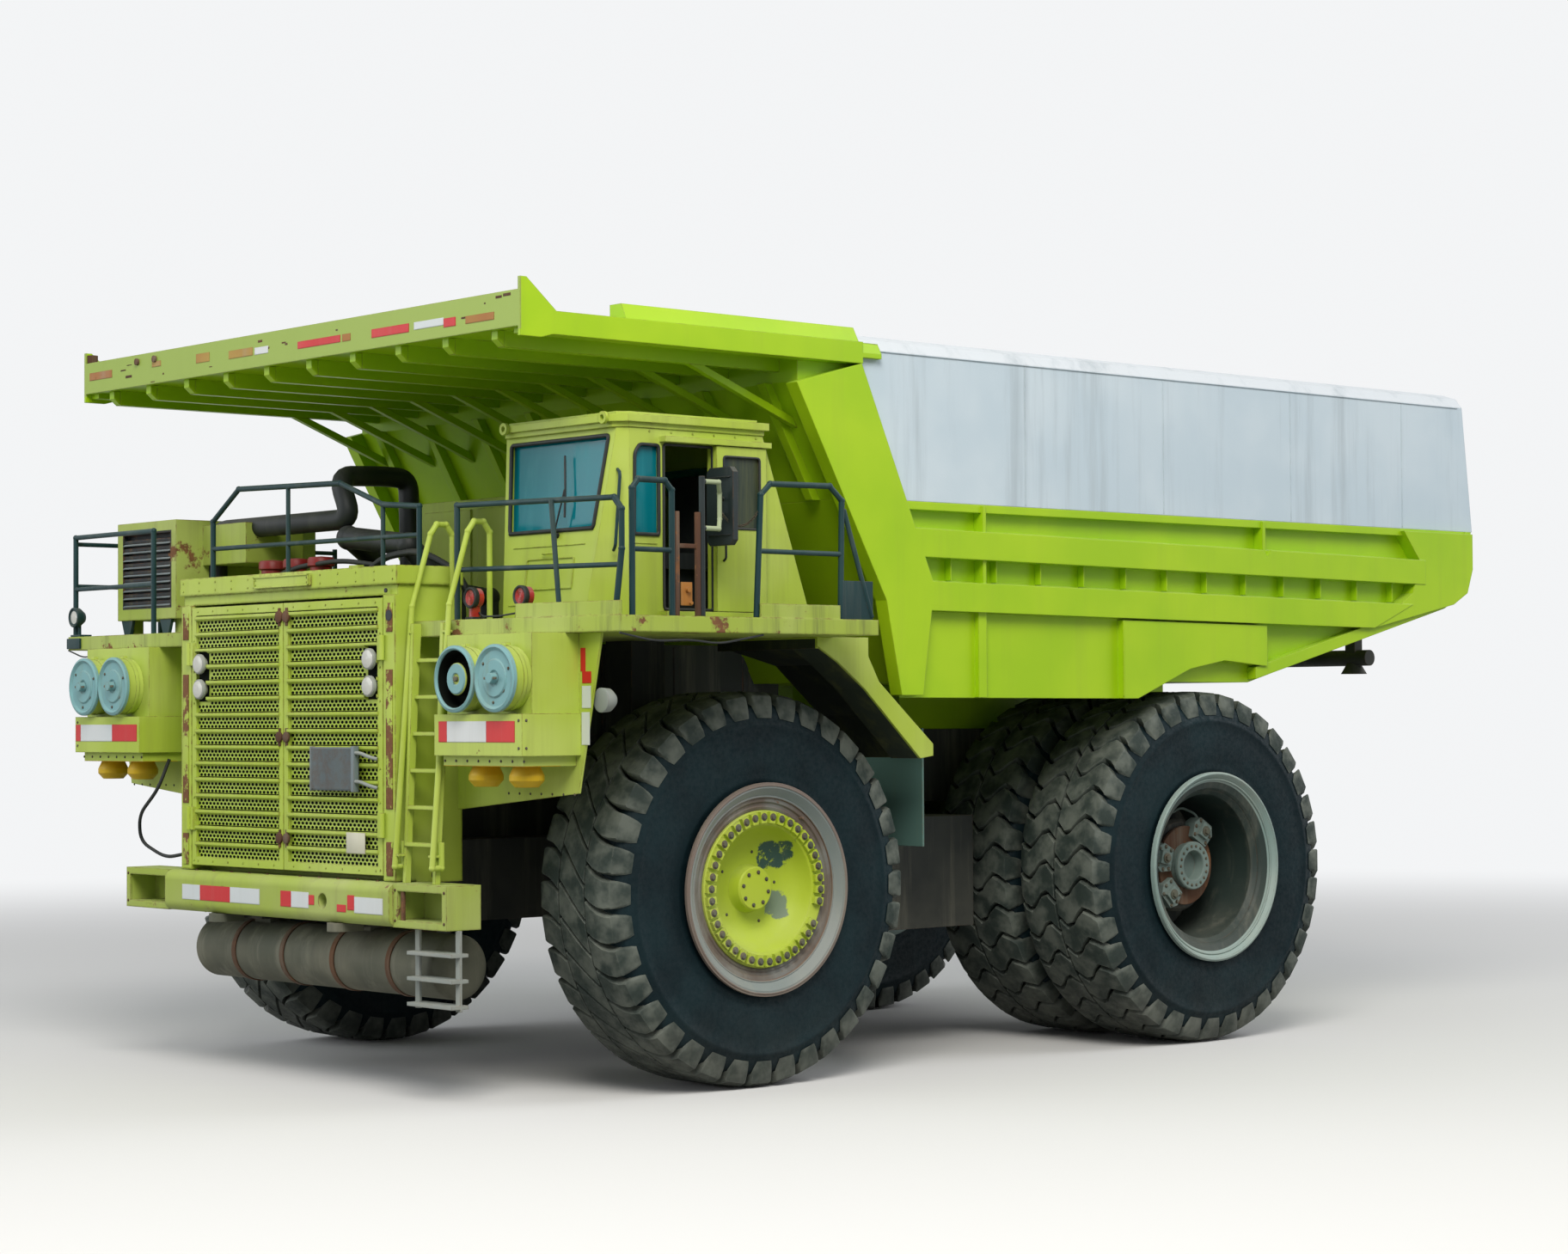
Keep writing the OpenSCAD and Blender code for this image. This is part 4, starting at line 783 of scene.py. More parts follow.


# the holes are flat near black discs on the door face: painted shade
def grilleHoleShade(out):
    spec = grilleSpec
    wide, tall = spec["hole"]
    gap, gapLow, gapHigh = spec["lampGap"]
    shape = Shape()
    for strip in range(spec["strips"]):
        for row, share in enumerate(spec["rows"]):
            z = spec["low"] + strip * spec["pitch"] + share * spec["sheet"]
            y = spec["from"] + (row % 2) * spec["step"] / 2
            while y < spec["to"]:
                if abs(y - spec["lampY"]) >= gap or not gapLow < z < gapHigh:
                    around = (math.pi * k / 6 for k in range(12))
                    shape.bm.faces.new([shape.bm.verts.new((spec["face"], out * y + wide * math.cos(a),
                                                            z + tall * math.sin(a))) for a in around])
                y += spec["step"]
    return shape


def dressDoor(side, out):
    spec, body, skin = grilleSpec, "grille_door_" + side, grilleSpec["skin"]
    grilleHoleShade(out).done("grilleHoleShade" + side.title(), "holeDark", body, smooth=False)
    bezels, pocketShade, latch, bolts = (Shape() for k in range(4))
    for z in spec["lampZ"]:
        bezels.spin(spec["bezel"], facing(0, out * spec["lampY"], z), 32)
    half, low, high = spec["lampPocket"]
    # a thin near black sheet in each lamp pocket: painted shade
    pocketShade.box((2.5722, out * spec["lampY"] - half, low), (2.5742, out * spec["lampY"] + half, high))
    y = out * spec["latchY"]
    for z, wide in spec["latches"]:
        latch.spin([(0.0, 0.0), (wide, 0.0), (wide, 0.018), (wide * 0.5, 0.026), (0.0, 0.026)],
                   facing(skin, y, z), 20)
        latch.box((skin, y - 0.016, z - 0.075), (skin + 0.011, y + 0.016, z + 0.075), 0.004)
    bezels.done("lampBezels" + side.title(), "plainGrey", body)
    pocketShade.done("lampPocketShade" + side.title(), "holeDark", body)
    latch.done("doorLatches" + side.title(), "rustBrown", body)
    edge, heights = spec["sideBolts"]
    for z in heights:
        bolts.bolt((skin, out * edge, z), ahead, 0.011)
    for y in spec["endBolts"][0]:
        for z in spec["endBolts"][1]:
            bolts.bolt((skin, out * y, z), ahead, 0.010)
    bolts.done("doorBolts" + side.title(), "palePaint", body)


for side, out in leftRight:
    dressDoor(side, out)

coolerSpec = {"lo": (2.618, 0.50, 2.43), "hi": (2.662, 1.10, 2.78), "fins": 52, "finDeep": 0.012,
              "pipes": (2.735, 2.505)}
core, tubes = Shape(), Shape()
(x0, y0, z0), (x1, y1, z1) = coolerSpec["lo"], coolerSpec["hi"]
finBack = x1 - coolerSpec["finDeep"]
core.box((x0, y0, z0), (finBack, y1, z1))
for k in range(coolerSpec["fins"]):
    y = y0 + 0.01 + (y1 - y0 - 0.02) * k / (coolerSpec["fins"] - 1)
    core.box((finBack, y - 0.0025, z0 + 0.01), (x1, y + 0.0025, z1 - 0.01))
core.box((x0 - 0.002, y1 - 0.01, z0 - 0.01), (x1 + 0.006, y1 + 0.035, z1 + 0.01), 0.006)
core.box((x0, y0 - 0.012, z0 - 0.006), (x1 + 0.002, y0 + 0.004, z1 + 0.006), 0.003)
for z in coolerSpec["pipes"]:
    route = [(2.648, 1.12, z), (2.650, 1.20, z), (2.648, 1.32, z - 0.03), (2.606, 1.38, z - 0.05)]
    tubes.pipe(route, 0.015, 10, 0.05)
core.done("oilCooler", "coolerGrey", "grille_door_left")
tubes.done("coolerPipes", "plainGrey", "grille_door_left")
plate = Shape().box((2.613, 0.95, 1.925), (2.617, 1.22, 2.095), 0.0015)
plate.done("barePlate", "blankPlate", "grille_door_left")
print("grille dressed")


# reflective tape: X of each face that carries it and the tape's thickness, then two corners of each strip

tapeFaces = {"boxes": (2.66, 0.003), "bumper": (2.72, 0.0025), "wing": (2.10, 0.0025),
             "fascia": (2.61, 0.0025)}
tapes = {
    "tapeRed": {
        "boxes": [(2.30, 2.825, 2.41, 2.986), (2.92, 2.825, 3.28, 2.986), (-3.36, 2.82, -3.27, 2.97),
                  (-2.71, 2.82, -2.28, 2.97)],
        "bumper": [(-1.12, 1.47, -0.64, 1.60), (0.14, 1.47, 0.30, 1.60), (0.56, 1.50, 0.64, 1.58),
                   (0.97, 1.46, 1.10, 1.52), (1.12, 1.48, 1.22, 1.60)],
        "wing": [(3.39, 3.27, 3.50, 3.36), (3.37, 3.36, 3.43, 3.54)],
        "fascia": [(0.24, 6.07, 0.87, 6.13), (1.32, 6.06, 1.84, 6.13), (2.31, 6.05, 2.47, 6.12)]},
    "tapeWhite": {
        "boxes": [(2.41, 2.825, 2.92, 2.986), (-3.27, 2.82, -2.71, 2.97)],
        "bumper": [(-1.41, 1.47, -1.12, 1.60), (-0.64, 1.47, -0.18, 1.60), (0.30, 1.47, 0.56, 1.60),
                   (1.22, 1.46, 1.62, 1.59)],
        "wing": [(3.38, 2.80, 3.48, 3.05), (3.385, 3.08, 3.495, 3.25)],
        "fascia": [(1.91, 6.07, 2.31, 6.13), (-0.42, 6.08, -0.21, 6.14)]},
    "tapeFaded": {
        "fascia": [(-3.20, 6.09, -2.80, 6.16), (-1.36, 6.09, -1.14, 6.17), (-0.83, 6.08, -0.45, 6.15),
                   (0.90, 6.07, 1.02, 6.13), (2.60, 6.05, 2.97, 6.11), (-2.10, 6.12, -1.95, 6.17)]},
}
for colour, faces in tapes.items():
    shape = Shape()
    for face, strips in faces.items():
        x, thick = tapeFaces[face]
        for y0, z0, y1, z1 in strips:
            shape.box((x, y0, z0), (x + thick, y1, z1))
    shape.done(colour + "Strips", colour, smooth=False)
print("tape laid")


# front of the truck

frontSpec = {"plate": (0.42, 4.105, 4.205), "postY": (1.50, 1.59), "drumY": (2.59, 3.11), "drumX": 2.55,
             "drumZ": 3.31}
rim = Shape()
half, low, high = frontSpec["plate"]
for a, b in (((-half, low), (half, low + 0.014)), ((-half, high - 0.014), (half, high)),
             ((-half, low), (-half + 0.014, high)), ((half - 0.014, low), (half, high))):
    rim.box((2.624, a[0], a[1]), (2.633, b[0], b[1]), 0.003)
for y in (-half + 0.03, half - 0.03):
    for z in (low + 0.03, high - 0.03):
        rim.bolt((2.626, y, z), ahead, 0.009)
for out in (1, -1):
    for y in [0.55 + 0.26 * k for k in range(5)]:
        rim.bolt((2.60, out * y, 4.19), ahead, 0.010)
        rim.bolt((2.60, out * y, 4.12), ahead, 0.010)
rim.done("plateFrame", "palePaint")

posts = Shape()
for out in (1, -1):
    y0, y1 = frontSpec["postY"]
    for z0, z1 in ((1.76, 2.03), (2.29, 3.40), (3.70, 3.93)):
        posts.box((2.60, out * y0, z0), (2.607, out * y1, z1), 0.003)
posts.done("hingePosts", "edgeRust")

# black discs on the hinge posts stand for their holes: painted shade
hole = Shape()
for y, z, r in ((1.545, 3.83, 0.045), (1.50, 4.03, 0.018)):
    hole.rod((2.598, y, z), (2.6085, y, z), r, 20)
hole.done("postHoleShade", "blackHose")

# the drum whose lid is gone shows a dark ring around the filter's end, made as a ring of painted shade inside
# the open drum
drumShade, lids, clamps = Shape(), Shape(), Shape()
x0, z0 = frontSpec["drumX"], frontSpec["drumZ"]
lay = facing(x0, frontSpec["drumY"][0], z0)
drumShade.spin([(0.127, 0.034), (0.221, 0.034), (0.2215, 0.165), (0.220, 0.165), (0.219, 0.037), (0.129, 0.037),
            (0.1285, 0.142), (0.127, 0.142)], lay, 48)
drumShade.done("openDrumShade", "holeDark")
for y in (frontSpec["drumY"][1], -frontSpec["drumY"][0], -frontSpec["drumY"][1]):
    for a in (0.4, 2.5, 4.6):
        lids.bolt((x0 + 0.168, y + 0.185 * math.cos(a), z0 + 0.185 * math.sin(a)), ahead, 0.014)
    lids.rod((x0 + 0.20, y, z0), (x0 + 0.226, y, z0), 0.030, 6)
    lids.box((x0 + 0.205, y - 0.075, z0 - 0.010), (x0 + 0.222, y + 0.075, z0 + 0.010), 0.004)
    lids.rod((x0 + 0.165, y + 0.10, z0 - 0.09), (x0 + 0.172, y + 0.10, z0 - 0.09), 0.022, 14)
lids.rod((x0 + 0.146, frontSpec["drumY"][0], z0), (x0 + 0.172, frontSpec["drumY"][0], z0), 0.022, 6)
lids.done("lidNuts", "dustySteel")
for y in frontSpec["drumY"]:
    for out in (1, -1):
        lay = facing(x0, out * y, z0)
        clamps.spin([(0.2455, 0.045), (0.252, 0.045), (0.252, 0.080), (0.2455, 0.080)], lay, 48)
        clamps.box((x0 + 0.04, out * y - 0.03, z0 + 0.243), (x0 + 0.085, out * y + 0.03, z0 + 0.272), 0.004)
clamps.done("drumBands", "palePaint")

bolts = Shape()
for out in (1, -1):
    for y in [2.30 + 0.145 * k for k in range(8)]:
        bolts.bolt((2.60, out * y, 2.68), ahead, 0.012)
    for z in (2.78, 2.99):
        bolts.bolt((2.66, out * 3.33, z), ahead, 0.013)
        bolts.bolt((2.62, out * 3.37, z), (0, out, 0), 0.012)
    for k in range(7):
        bolts.bolt((2.10, out * (2.45 + 0.14 * k), 2.42), ahead, 0.011)
bolts.done("boxBolts", "dustySteel")

lamp = Shape()
lay = facing(0, 3.56, 3.14)
lamp.spin([(0.0, 1.94), (0.055, 1.94), (0.090, 1.985), (0.095, 2.055), (0.080, 2.062), (0.0, 2.052)], lay, 28)
lamp.box((1.99, 3.40, 3.11), (2.03, 3.50, 3.17), 0.006)
lamp.done("sideLamp", "plainGrey")
print("front dressed")


# bumper: straps round the reservoir, bolts, and the lines and bellows behind it

bumperSpec = {"straps": (-0.95, -0.2, 0.55, 1.35), "reservoir": (2.23, 1.04, 0.26)}
straps = Shape()
x, z, r = bumperSpec["reservoir"]
for y in bumperSpec["straps"]:
    lay = Matrix.Translation((x, y, z)) @ Matrix.Rotation(-math.pi / 2, 4, "X")
    straps.spin([(r + 0.001, -0.03), (r + 0.010, -0.03), (r + 0.010, 0.03), (r + 0.001, 0.03)], lay, 48)
straps.done("tankStraps", "rustBrown")
edge = Shape()
for out in (1, -1):
    for y in [0.25 + 0.28 * k for k in range(5)]:
        edge.bolt((2.60, out * y, 1.713), (0, 0, 1), 0.016)
    for z in (1.42, 1.66):
        for y in (1.73, 2.39):
            edge.bolt((2.68, out * y, z), ahead, 0.013)
    edge.box((2.655, out * 2.10 - 0.30, 1.40), (2.675, out * 2.10 - 0.26, 1.68), 0.004)
edge.done("bumperBolts", "rustBrown")

# hoses and air lines: thickness, sides, bend and route of each
lineRoutes = [
    (0.016, 8, 0.12, [(2.35, -2.25, 2.66), (2.42, -2.32, 2.40), (2.44, -2.62, 2.16), (2.38, -2.70, 1.92),
                      (2.30, -2.40, 1.78), (2.25, -2.0, 1.84)]),
    (0.03, 10, 0.1, [(2.25, -1.95, 2.66), (2.30, -2.00, 2.30), (2.28, -1.90, 1.95), (2.2, -1.72, 1.80)]),
    (0.02, 8, 0.1, [(2.30, 1.75, 2.40), (2.34, 1.80, 2.0), (2.30, 1.72, 1.75)]),
    (0.007, 6, 0.08, [(2.46, -3.86, 3.655), (2.45, -3.60, 3.585), (2.45, -3.30, 3.615), (2.45, -3.00, 3.570),
                      (2.45, -2.75, 3.645)]),
    (0.009, 6, 0.12, [(2.13, 3.885, 3.645), (1.80, 3.885, 3.585), (1.45, 3.885, 3.600), (1.15, 3.885, 3.570),
                      (0.70, 3.885, 3.645)]),
    (0.008, 6, 0.05, [(2.30, 2.33, 3.84), (2.34, 2.44, 3.80), (2.30, 2.60, 3.80), (2.22, 2.82, 3.83)]),
]
lines = Shape()
for thick, sides, bend, route in lineRoutes:
    lines.pipe(route, thick, sides, bend)
lines.done("airLines", "blackHose")
bellows = Shape()
for out in (1, -1):
    for k in range(9):
        z = 2.76 + 0.036 * k
        lay = Matrix.Translation((0, out * 1.85, z))
        bellows.spin([(0.201, 0.0), (0.232, 0.012), (0.232, 0.018), (0.201, 0.030)], lay, 40)
bellows.done("strutBellows", "blackHose")
print("bumper dressed")


# deck: lamp rims, gate posts, chain, work lamp and louvres

deckSpec = {"lamps": ((2.42, 2.32), (2.325, 2.84)), "gateX": (1.545, 1.335), "gateHalf": 0.02,
            "gateTop": 4.58, "chain": ((1.06, 3.80, 4.60), (0.705, 3.85, 4.62)), "chainSag": 0.12,
            "links": 24, "link": (0.008, 0.0032)}
rims, glow = Shape(), Shape()
for x, y in deckSpec["lamps"]:
    lay = facing(x - 0.05, y, 3.95)
    rims.spin([(0.060, -0.004), (0.082, -0.030), (0.084, 0.006), (0.078, 0.014), (0.064, 0.010)], lay, 32)
    rims.box((x - 0.155, y - 0.05, 3.781), (x - 0.035, y + 0.05, 3.80), 0.004)
    for k in range(5):
        r = 0.012 + 0.011 * k
        glow.spin([(r, 0.0), (r + 0.004, 0.004), (r + 0.008, 0.0)], lay, 24)
rims.done("deckLampRims", "blackHose")
glow.done("deckLampLens", "redGlass")

gate = Shape()
half = deckSpec["gateHalf"]
for x in deckSpec["gateX"]:
    gate.box((x - half, 3.835, 3.781), (x + half, 3.865, deckSpec["gateTop"]), 0.005)
gate.box((1.345, 3.842, 4.30), (1.535, 3.858, 4.335), 0.004)
gate.done("gatePosts", "rustBrown")
plate = Shape()
plate.box((1.39, 3.840, 3.86), (1.50, 3.852, 4.04), 0.004)
plate.rod((1.44, 3.852, 3.98), (1.44, 3.880, 3.98), 0.022, 14)
plate.rod((1.41, 3.852, 3.88), (1.41, 3.872, 3.88), 0.014, 12)
plate.done("gatePlate", "rustOrange")

chain = Shape()
start, stop = (Vector(p) for p in deckSpec["chain"])
count, (wide, thick) = deckSpec["links"], deckSpec["link"]
for k in range(count):
    a, b = (start.lerp(stop, t) - Vector((0, 0, deckSpec["chainSag"] * 4 * t * (1 - t)))
            for t in (k / count, min(1.0, (k + 1.35) / count)))
    run = (b - a).normalized()
    across = (Vector((0, 1, 0)) if k % 2 else run.cross(Vector((0, 1, 0))).normalized()) * wide
    chain.pipe([a - across, a + across, b + across, b - across, a - across * 0.98], thick, 6)
chain.done("gateChain", "dustySteel")

work = Shape()
lay = facing(2.37, -3.80, 3.96)
work.spin([(0.0, -0.03), (0.05, -0.03), (0.088, 0.02), (0.092, 0.075), (0.080, 0.082), (0.072, 0.070),
           (0.0, 0.062)], lay, 28)
work.rod((2.38, -3.80, 3.78), (2.38, -3.80, 3.90), 0.016)
work.box((2.31, -3.88, 3.781), (2.43, -3.70, 3.80), 0.004)
work.box((2.44, -3.895, 3.668), (2.462, -3.66, 3.765), 0.006)
work.done("workLamp", "railGreen")
lens = Shape()
lens.spin([(0.0, 0.076), (0.035, 0.074), (0.072, 0.066), (0.072, 0.062), (0.0, 0.064)], lay, 28)
lens.done("workLampLens", "lampGlass")

louvres = Shape()
for k in range(9):
    z = 4.06 + 0.07 * k
    turn = Matrix.Rotation(math.radians(32), 4, "Y")
    louvres.box((2.125, -3.345, z - 0.003), (2.195, -2.525, z + 0.003), 0.0, turn)
louvres.done("gridLouvres", "coolerGrey")
lugs = Shape()
# lays an outline in Y and Z, thick along X
acrossX = Matrix(((0, 0, 1, 0), (1, 0, 0, 0), (0, 1, 0, 0), (0, 0, 0, 1)))
for y in (-3.30, -2.62):
    lugs.prism([(-0.10, 0.0), (0.10, 0.0), (0.05, -0.13), (-0.05, -0.13)],
               Matrix.Translation((2.14, y, 3.92)) @ acrossX, 0.03)
lugs.done("gridFeet", "railGreen")
print("deck dressed")


# engine bay: duct, hoses, filter caps and splash panels

baySpec = {"capY": (-1.43, -1.04, -0.65), "capZ": 4.30}
duct = Shape()
duct.pipe([(1.75, -2.42, 4.10), (1.75, -2.42, 4.72), (1.75, -0.26, 4.72), (1.75, -0.46, 5.10),
           (1.20, -0.58, 5.13), (0.92, -0.60, 5.12), (0.90, -0.60, 4.10)], 0.09, 18, 0.17)
duct.pipe([(1.90, -1.30, 4.235), (1.88, -0.9, 4.33), (1.88, -0.2, 4.36), (1.80, 0.4, 4.28),
           (1.80, 0.9, 4.10)], 0.022, 10, 0.2)
duct.pipe([(1.80, -0.2, 4.02), (1.86, 0.3, 4.36), (1.84, 0.9, 4.40), (1.70, 1.25, 4.20), (1.60, 1.3, 3.90)],
          0.03, 10, 0.25)
duct.done("bayDuct", "blackHose")
caps = Shape()
for y in baySpec["capY"]:
    lay = Matrix.Translation((1.80, y, baySpec["capZ"]))
    caps.spin([(0.0, -0.50), (0.095, -0.50), (0.095, 0.02), (0.118, 0.03), (0.118, 0.085), (0.105, 0.105),
               (0.0, 0.115)], lay, 28)
caps.done("filterCaps", "signalRed")
shelf = Shape()
shelf.box((1.62, -1.62, 3.74), (1.94, -0.45, 3.80), 0.004)
shelf.box((1.955, 0.10, 4.231), (2.02, 0.24, 4.30), 0.01)
shelf.done("filterShelf", "palePaint")
# splash panels beside the engine, inside the wheels' sweep
panels = Shape()
for out in (1, -1):
    panels.box((-2.0, out * 1.00 - 0.006, 2.86), (1.95, out * 1.00 + 0.006, 3.64), 0.003)
    for x in (-1.6, -0.8, 0.0, 0.8, 1.6):
        panels.box((x - 0.03, out * 1.012 - 0.008, 2.88), (x + 0.03, out * 1.012 + 0.008, 3.62), 0.004)
panels.done("bayPanels", "darkSteel")
print("engine bay dressed")


# cab: rubbers, wiper, hatch, door frame, mirror glass

cabSpec = {"left": 3.352, "frontLow": (1.85, 3.78), "lean": 0.18 / 1.48}


def cabFront(y, z, off=0.0):
    low = cabSpec["frontLow"]
    return (low[0] - (z - low[1]) * cabSpec["lean"] + off, y, z)


def cabSide(points):
    return [(x, cabSpec["left"], z) for x, z in points]


rubber = Shape()
screen = [(2.03, 4.48), (3.11, 4.48), (3.20, 5.20), (1.94, 5.20)]
rubber.pipe([cabFront(y, z, 0.003) for y, z in screen + screen[:2]], 0.017, 8, 0.035)
quarter = [(1.31, 4.43), (1.56, 4.43), (1.55, 5.06), (1.50, 5.13), (1.31, 5.13)]
rubber.pipe(cabSide(quarter + quarter[:2]), 0.015, 8, 0.03)
opening = [(0.76, 3.85), (1.26, 3.85), (1.26, 5.14), (0.76, 5.14)]
rubber.pipe(cabSide(opening + opening[:2]), 0.012, 8, 0.03)
rubber.done("cabRubbers", "blackHose")

wiper = Shape()
wiper.rod(cabFront(2.66, 4.44, 0.0), cabFront(2.66, 4.44, 0.05), 0.022, 14)
wiperArm = ((2.66, 4.44, 0.042), (2.72, 4.72, 0.036), (2.73, 4.80, 0.030))
wiperBlade = ((2.75, 4.58, 0.018), (2.73, 4.80, 0.022), (2.68, 5.07, 0.018))
wiper.pipe([cabFront(*p) for p in wiperArm], 0.007, 8, 0.05)
wiper.pipe([cabFront(*p) for p in wiperBlade], 0.009, 8, 0.05)
wiper.done("wiper", "blackHose")

# a frame and handles on the flat panels, and seams where sheets meet
panels = Shape()
hatch = [(2.30, 4.02), (2.90, 4.02), (2.90, 4.26), (2.30, 4.26)]
panels.pipe([cabFront(y, z, 0.004) for y, z in hatch + hatch[:2]], 0.007, 6, 0.02)
handle = ((2.52, 0.0), (2.52, 0.03), (2.66, 0.03), (2.66, 0.0))
panels.pipe([cabFront(y, 4.30, off) for y, off in handle], 0.008, 8, 0.01)
for z in (4.36, 3.90):
    panels.pipe([cabFront(2.10, z, 0.002), cabFront(3.02, z, 0.002)], 0.005, 6)
for x in (0.62, 0.20):
    panels.pipe(cabSide([(x, 3.86), (x, 5.20)]), 0.005, 6)
panels.pipe(cabSide([(1.33, 4.36), (1.57, 4.36)]), 0.005, 6)
for k in range(6):
    panels.bolt((0.30 + 0.22 * k, 3.35, 5.235), (0, 1, 0), 0.010)
panels.done("cabPanels", "palePaint")
grip = Shape()
grip.pipe([(1.72, 3.30, 4.30), (1.75, 3.36, 4.33), (1.70, 3.36, 4.90), (1.67, 3.29, 4.93)], 0.013, 10, 0.04)
grip.done("cabGrips", "railGreen")
doorBits = Shape()
pull = [(0.70, 3.414, 4.24), (0.70, 3.445, 4.26), (0.70, 3.445, 4.42), (0.70, 3.414, 4.44)]
doorBits.pipe(pull, 0.009, 8, 0.02)
pane = [(0.315, 4.50), (0.695, 4.50), (0.695, 5.07), (0.315, 5.07)]
doorBits.pipe([(x, 3.413, z) for x, z in pane + pane[:2]], 0.010, 8, 0.03)
doorBits.done("doorBits", "blackHose", "cab_door")
glass = Shape()
glass.box((0.934, 3.585, 4.39), (0.9395, 3.835, 4.90), 0.002)
glass.done("mirrorGlass", "windowGlass")
mirrorTrim = Shape()
for z in (4.42, 4.87):
    mirrorTrim.pipe([(0.992, 3.58, z), (1.004, 3.62, z), (1.004, 3.80, z), (0.992, 3.84, z)], 0.006, 6, 0.02)
mirrorTrim.done("mirrorRibs", "blackHose")
print("cab dressed")


# body: stiffener ends, weld seams, rusty canopy edge and tank seams

bodySpec = {"seams": (-2.9, -4.7, -6.5, -8.2), "tabs": 10}
seams = Shape()
for x in bodySpec["seams"]:
    for out in (1, -1):
        seams.pipe([(x, out * 3.2505, 4.83), (x, out * 3.2505, 6.05)], 0.006, 6)
for out in (1, -1):
    seams.pipe([(-1.05, out * 3.2505, 6.052), (-9.1, out * 3.2505, 6.052)], 0.010, 6)
seams.done("tankSeams", "tankWhite")
welds = Shape()
for out in (1, -1):
    welds.pipe([(-1.34, out * 3.162, 4.16), (-8.2, out * 3.162, 4.08)], 0.010, 6)
    welds.pipe([(-1.34, out * 3.162, 4.60), (-8.4, out * 3.162, 4.52)], 0.010, 6)
    welds.pipe([(-4.11, out * 3.2805, 3.17), (-4.11, out * 3.2805, 3.84)], 0.008, 6)
    welds.pipe([(-1.40, out * 3.2105, 3.89), (-4.28, out * 3.2105, 3.865)], 0.008, 6)
    for k in range(12):
        x = -2.0 - 0.55 * k
        drop = 0.006 * k
        welds.box((x - 0.006, out * 3.16, 4.155 - drop), (x + 0.006, out * 3.235, 4.345 - drop))
welds.done("bodyWelds", "limePaint")

tabs, bare = Shape(), Shape()
for i in range(bodySpec["tabs"]):
    y = 2.9 * (2 * i / (bodySpec["tabs"] - 1) - 1)
    tabs.prism([(2.49, 5.852), (2.555, 5.905), (2.555, 5.975), (2.49, 5.978)],
               Matrix.Translation((0, y + 0.04, 0)) @ Matrix.Rotation(math.pi / 2, 4, "X"), 0.08)
tabs.done("ribEnds", "canopyPaint")
for k in range(16):
    y = -3.1 + 6.2 * dice.random()
    z = 5.985 + 0.23 * dice.random()
    w, h = 0.02 + 0.09 * dice.random(), 0.006 + 0.022 * dice.random()
    bare.box((2.6095, y, z), (2.6115, y + w, z + h))
bare.done("bareSpots", "rustBrown")
hooks = Shape()
for y in (-2.35, -2.05):
    hooks.rod((2.61, y, 6.19), (2.63, y, 6.19), 0.03, 14)
hooks.rod((2.55, -3.26, 6.26), (2.55, -3.26, 6.33), 0.05, 14)
hooks.done("canopyStuds", "rustBrown")
print("body dressed")


# stage, light and camera

stageLook = {"floor": (0.72, 0.715, 0.70), "bounce": (0.26, 0.26, 0.25), "sky": (0.90, 0.91, 0.92),
             "skyPower": 0.40, "half": 140.0, "low": -0.002, "fadeFrom": 13.0, "fadeTo": 34.0}


# 1 where the stage is seen, straight or in a reflection or through glass; 0 where it only lights
def seenRay(tree):
    path = addNode(tree, "ShaderNodeLightPath")
    return mathNode(tree, "MAXIMUM", path.outputs["Is Camera Ray"],
                    mathNode(tree, "MAXIMUM", path.outputs["Is Glossy Ray"],
                             path.outputs["Is Transmission Ray"]))


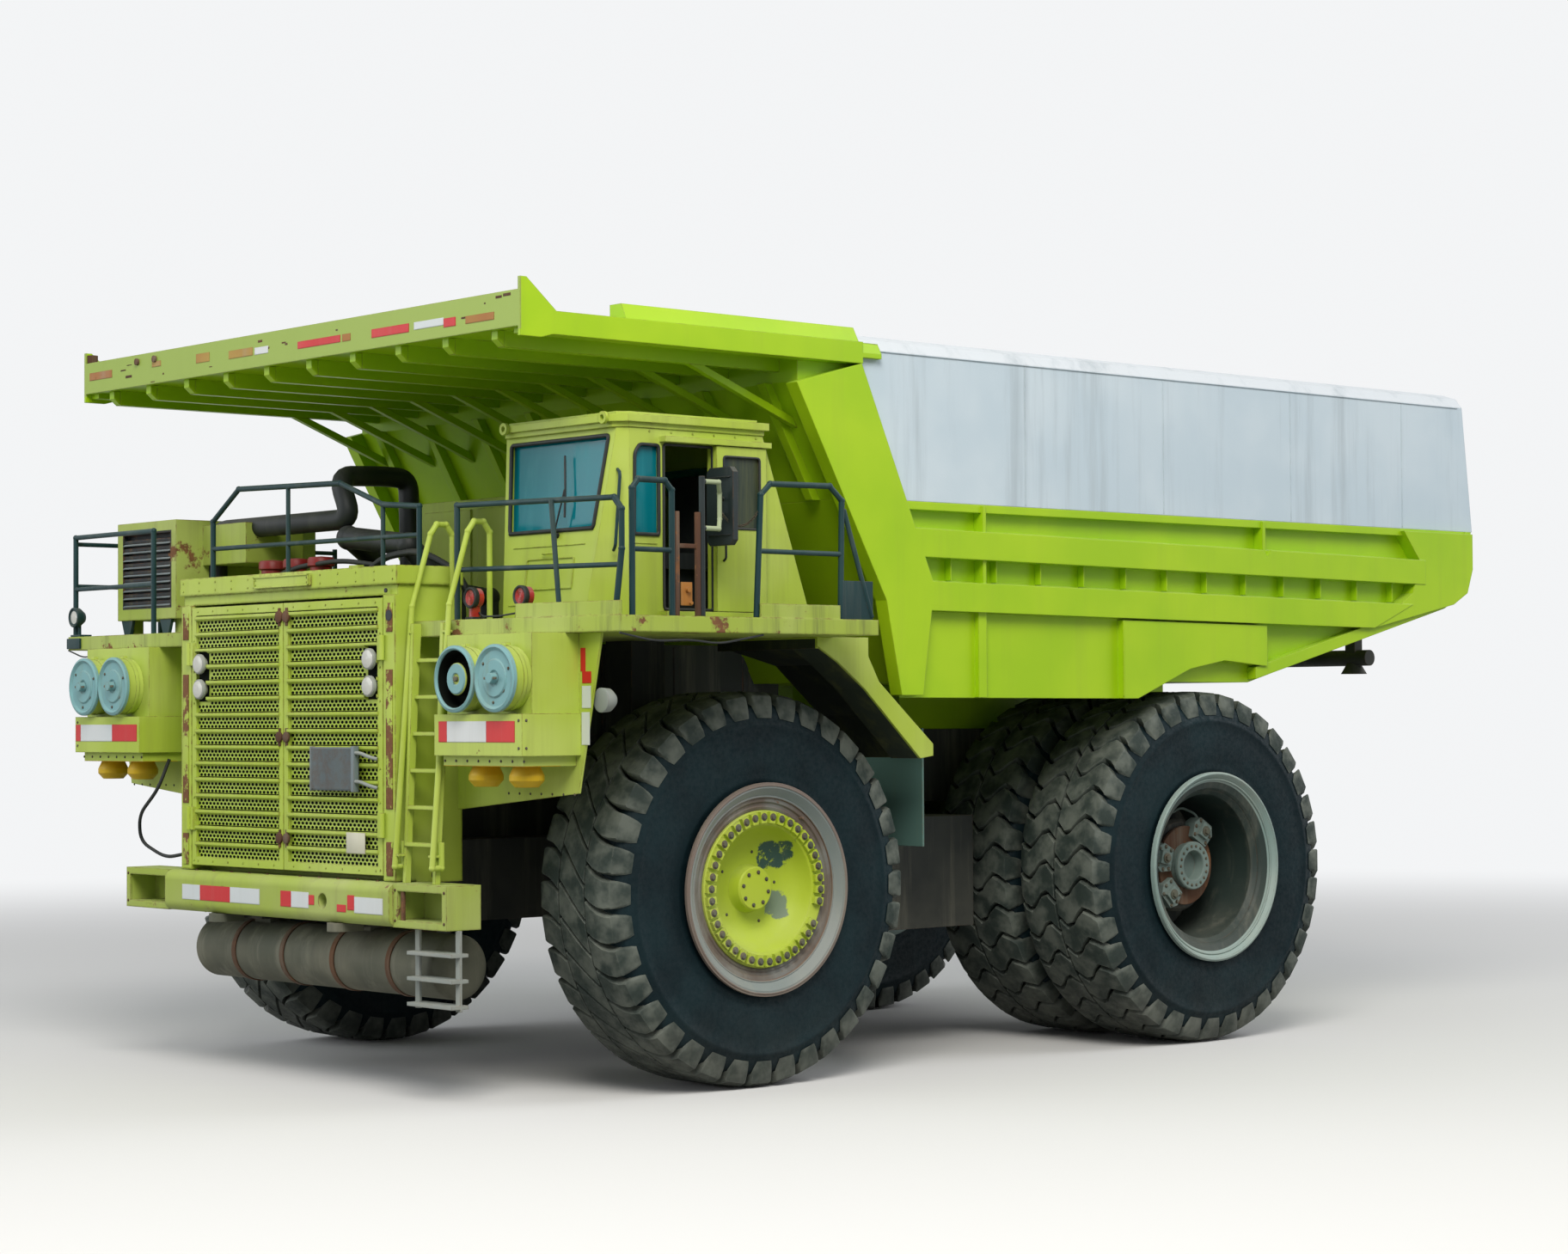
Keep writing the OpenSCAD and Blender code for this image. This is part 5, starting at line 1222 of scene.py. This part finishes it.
def buildStage():
    mesh = bpy.data.meshes.new("floor")
    half, low = stageLook["half"], stageLook["low"]
    corners = [(x * half, y * half, low) for x, y in ((-1, -1), (1, -1), (1, 1), (-1, 1))]
    mesh.from_pydata(corners, [], [(0, 1, 2, 3)])
    floor = bpy.data.objects.new("floor", mesh)
    bpy.context.scene.collection.objects.link(floor)
    mat, tree, shader = startMaterial("floorPlain")
    seen = seenRay(tree)
    tree.links.new(mixColour(tree, seen, stageLook["bounce"], stageLook["floor"]),
                   shader.inputs["Base Color"])
    shader.inputs["Roughness"].default_value = 0.9
    # the floor pales into the backdrop far from the truck
    reach = addNode(tree, "ShaderNodeVectorMath", operation="LENGTH")
    tree.links.new(objectPlace(tree), reach.inputs[0])
    far = mapRange(tree, reach.outputs["Value"], stageLook["fadeFrom"], stageLook["fadeTo"])
    glow = addNode(tree, "ShaderNodeEmission")
    glow.inputs["Color"].default_value = (*stageLook["sky"], 1)
    blend = addNode(tree, "ShaderNodeMixShader")
    tree.links.new(mathNode(tree, "MULTIPLY", far, seen), blend.inputs[0])
    tree.links.new(shader.outputs[0], blend.inputs[1])
    tree.links.new(glow.outputs[0], blend.inputs[2])
    tree.links.new(blend.outputs[0], tree.nodes["Material Output"].inputs["Surface"])
    mesh.materials.append(mat)
    world = bpy.data.worlds.new("studio")
    bpy.context.scene.world = world
    world.use_nodes = True
    tree = world.node_tree
    back = tree.nodes["Background"]
    back.inputs["Color"].default_value = (0.93, 0.96, 1.0, 1)
    back.inputs["Strength"].default_value = stageLook["skyPower"]
    drop = addNode(tree, "ShaderNodeBackground")
    drop.inputs["Color"].default_value = (*stageLook["sky"], 1)
    mix = addNode(tree, "ShaderNodeMixShader")
    tree.links.new(seenRay(tree), mix.inputs[0])
    tree.links.new(back.outputs[0], mix.inputs[1])
    tree.links.new(drop.outputs[0], mix.inputs[2])
    tree.links.new(mix.outputs[0], tree.nodes["World Output"].inputs["Surface"])


lamps = {
    "keyLamp": {"at": (16, 18, 22), "aim": (0, 0, 2.5), "size": 14, "power": 7000, "tint": (1.0, 0.97, 0.92)},
    "fillLamp": {"at": (24, -12, 12), "aim": (2, 0, 2.5), "size": 16, "power": 2100,
                 "tint": (0.92, 0.96, 1.0)},
    "backLamp": {"at": (-20, 14, 18), "aim": (-3, 0, 3), "size": 16, "power": 2600,
                 "tint": (0.95, 0.97, 1.0)},
}


def buildLamps():
    for name, spec in lamps.items():
        data = bpy.data.lights.new(name, "AREA")
        data.energy, data.size, data.color = spec["power"], spec["size"], spec["tint"]
        obj = bpy.data.objects.new(name, data)
        obj.location = spec["at"]
        obj.rotation_euler = (Vector(spec["aim"]) - Vector(spec["at"])).to_track_quat("-Z", "Y").to_euler()
        bpy.context.scene.collection.objects.link(obj)


view = {"at": (16.9706 + axleShift, 22.4609, 3.0142), "yaw": -2.29667, "pitch": 0.027971, "roll": -0.005907,
        "focalPixels": 3687.62, "widePixels": 1824, "sensor": 36.0}


def buildCamera():
    cp, sp = math.cos(view["pitch"]), math.sin(view["pitch"])
    ahead = Vector((math.cos(view["yaw"]) * cp, math.sin(view["yaw"]) * cp, sp))
    right = ahead.cross(Vector((0, 0, 1))).normalized()
    up = right.cross(ahead)
    cr, sr = math.cos(view["roll"]), math.sin(view["roll"])
    right, up = right * cr + up * sr, up * cr - right * sr
    data = bpy.data.cameras.new("photoCamera")
    data.sensor_width = view["sensor"]
    data.lens = view["focalPixels"] * view["sensor"] / view["widePixels"]
    data.clip_end = 500.0
    cam = bpy.data.objects.new("photoCamera", data)
    cam.matrix_world = Matrix.Translation(view["at"]) @ Matrix((right, up, -ahead)).transposed().to_4x4()
    bpy.context.scene.collection.objects.link(cam)
    bpy.context.scene.camera = cam


buildStage()
buildLamps()
buildCamera()
bpy.context.scene.view_settings.view_transform = "Standard"
print("stage, lamps and camera placed")
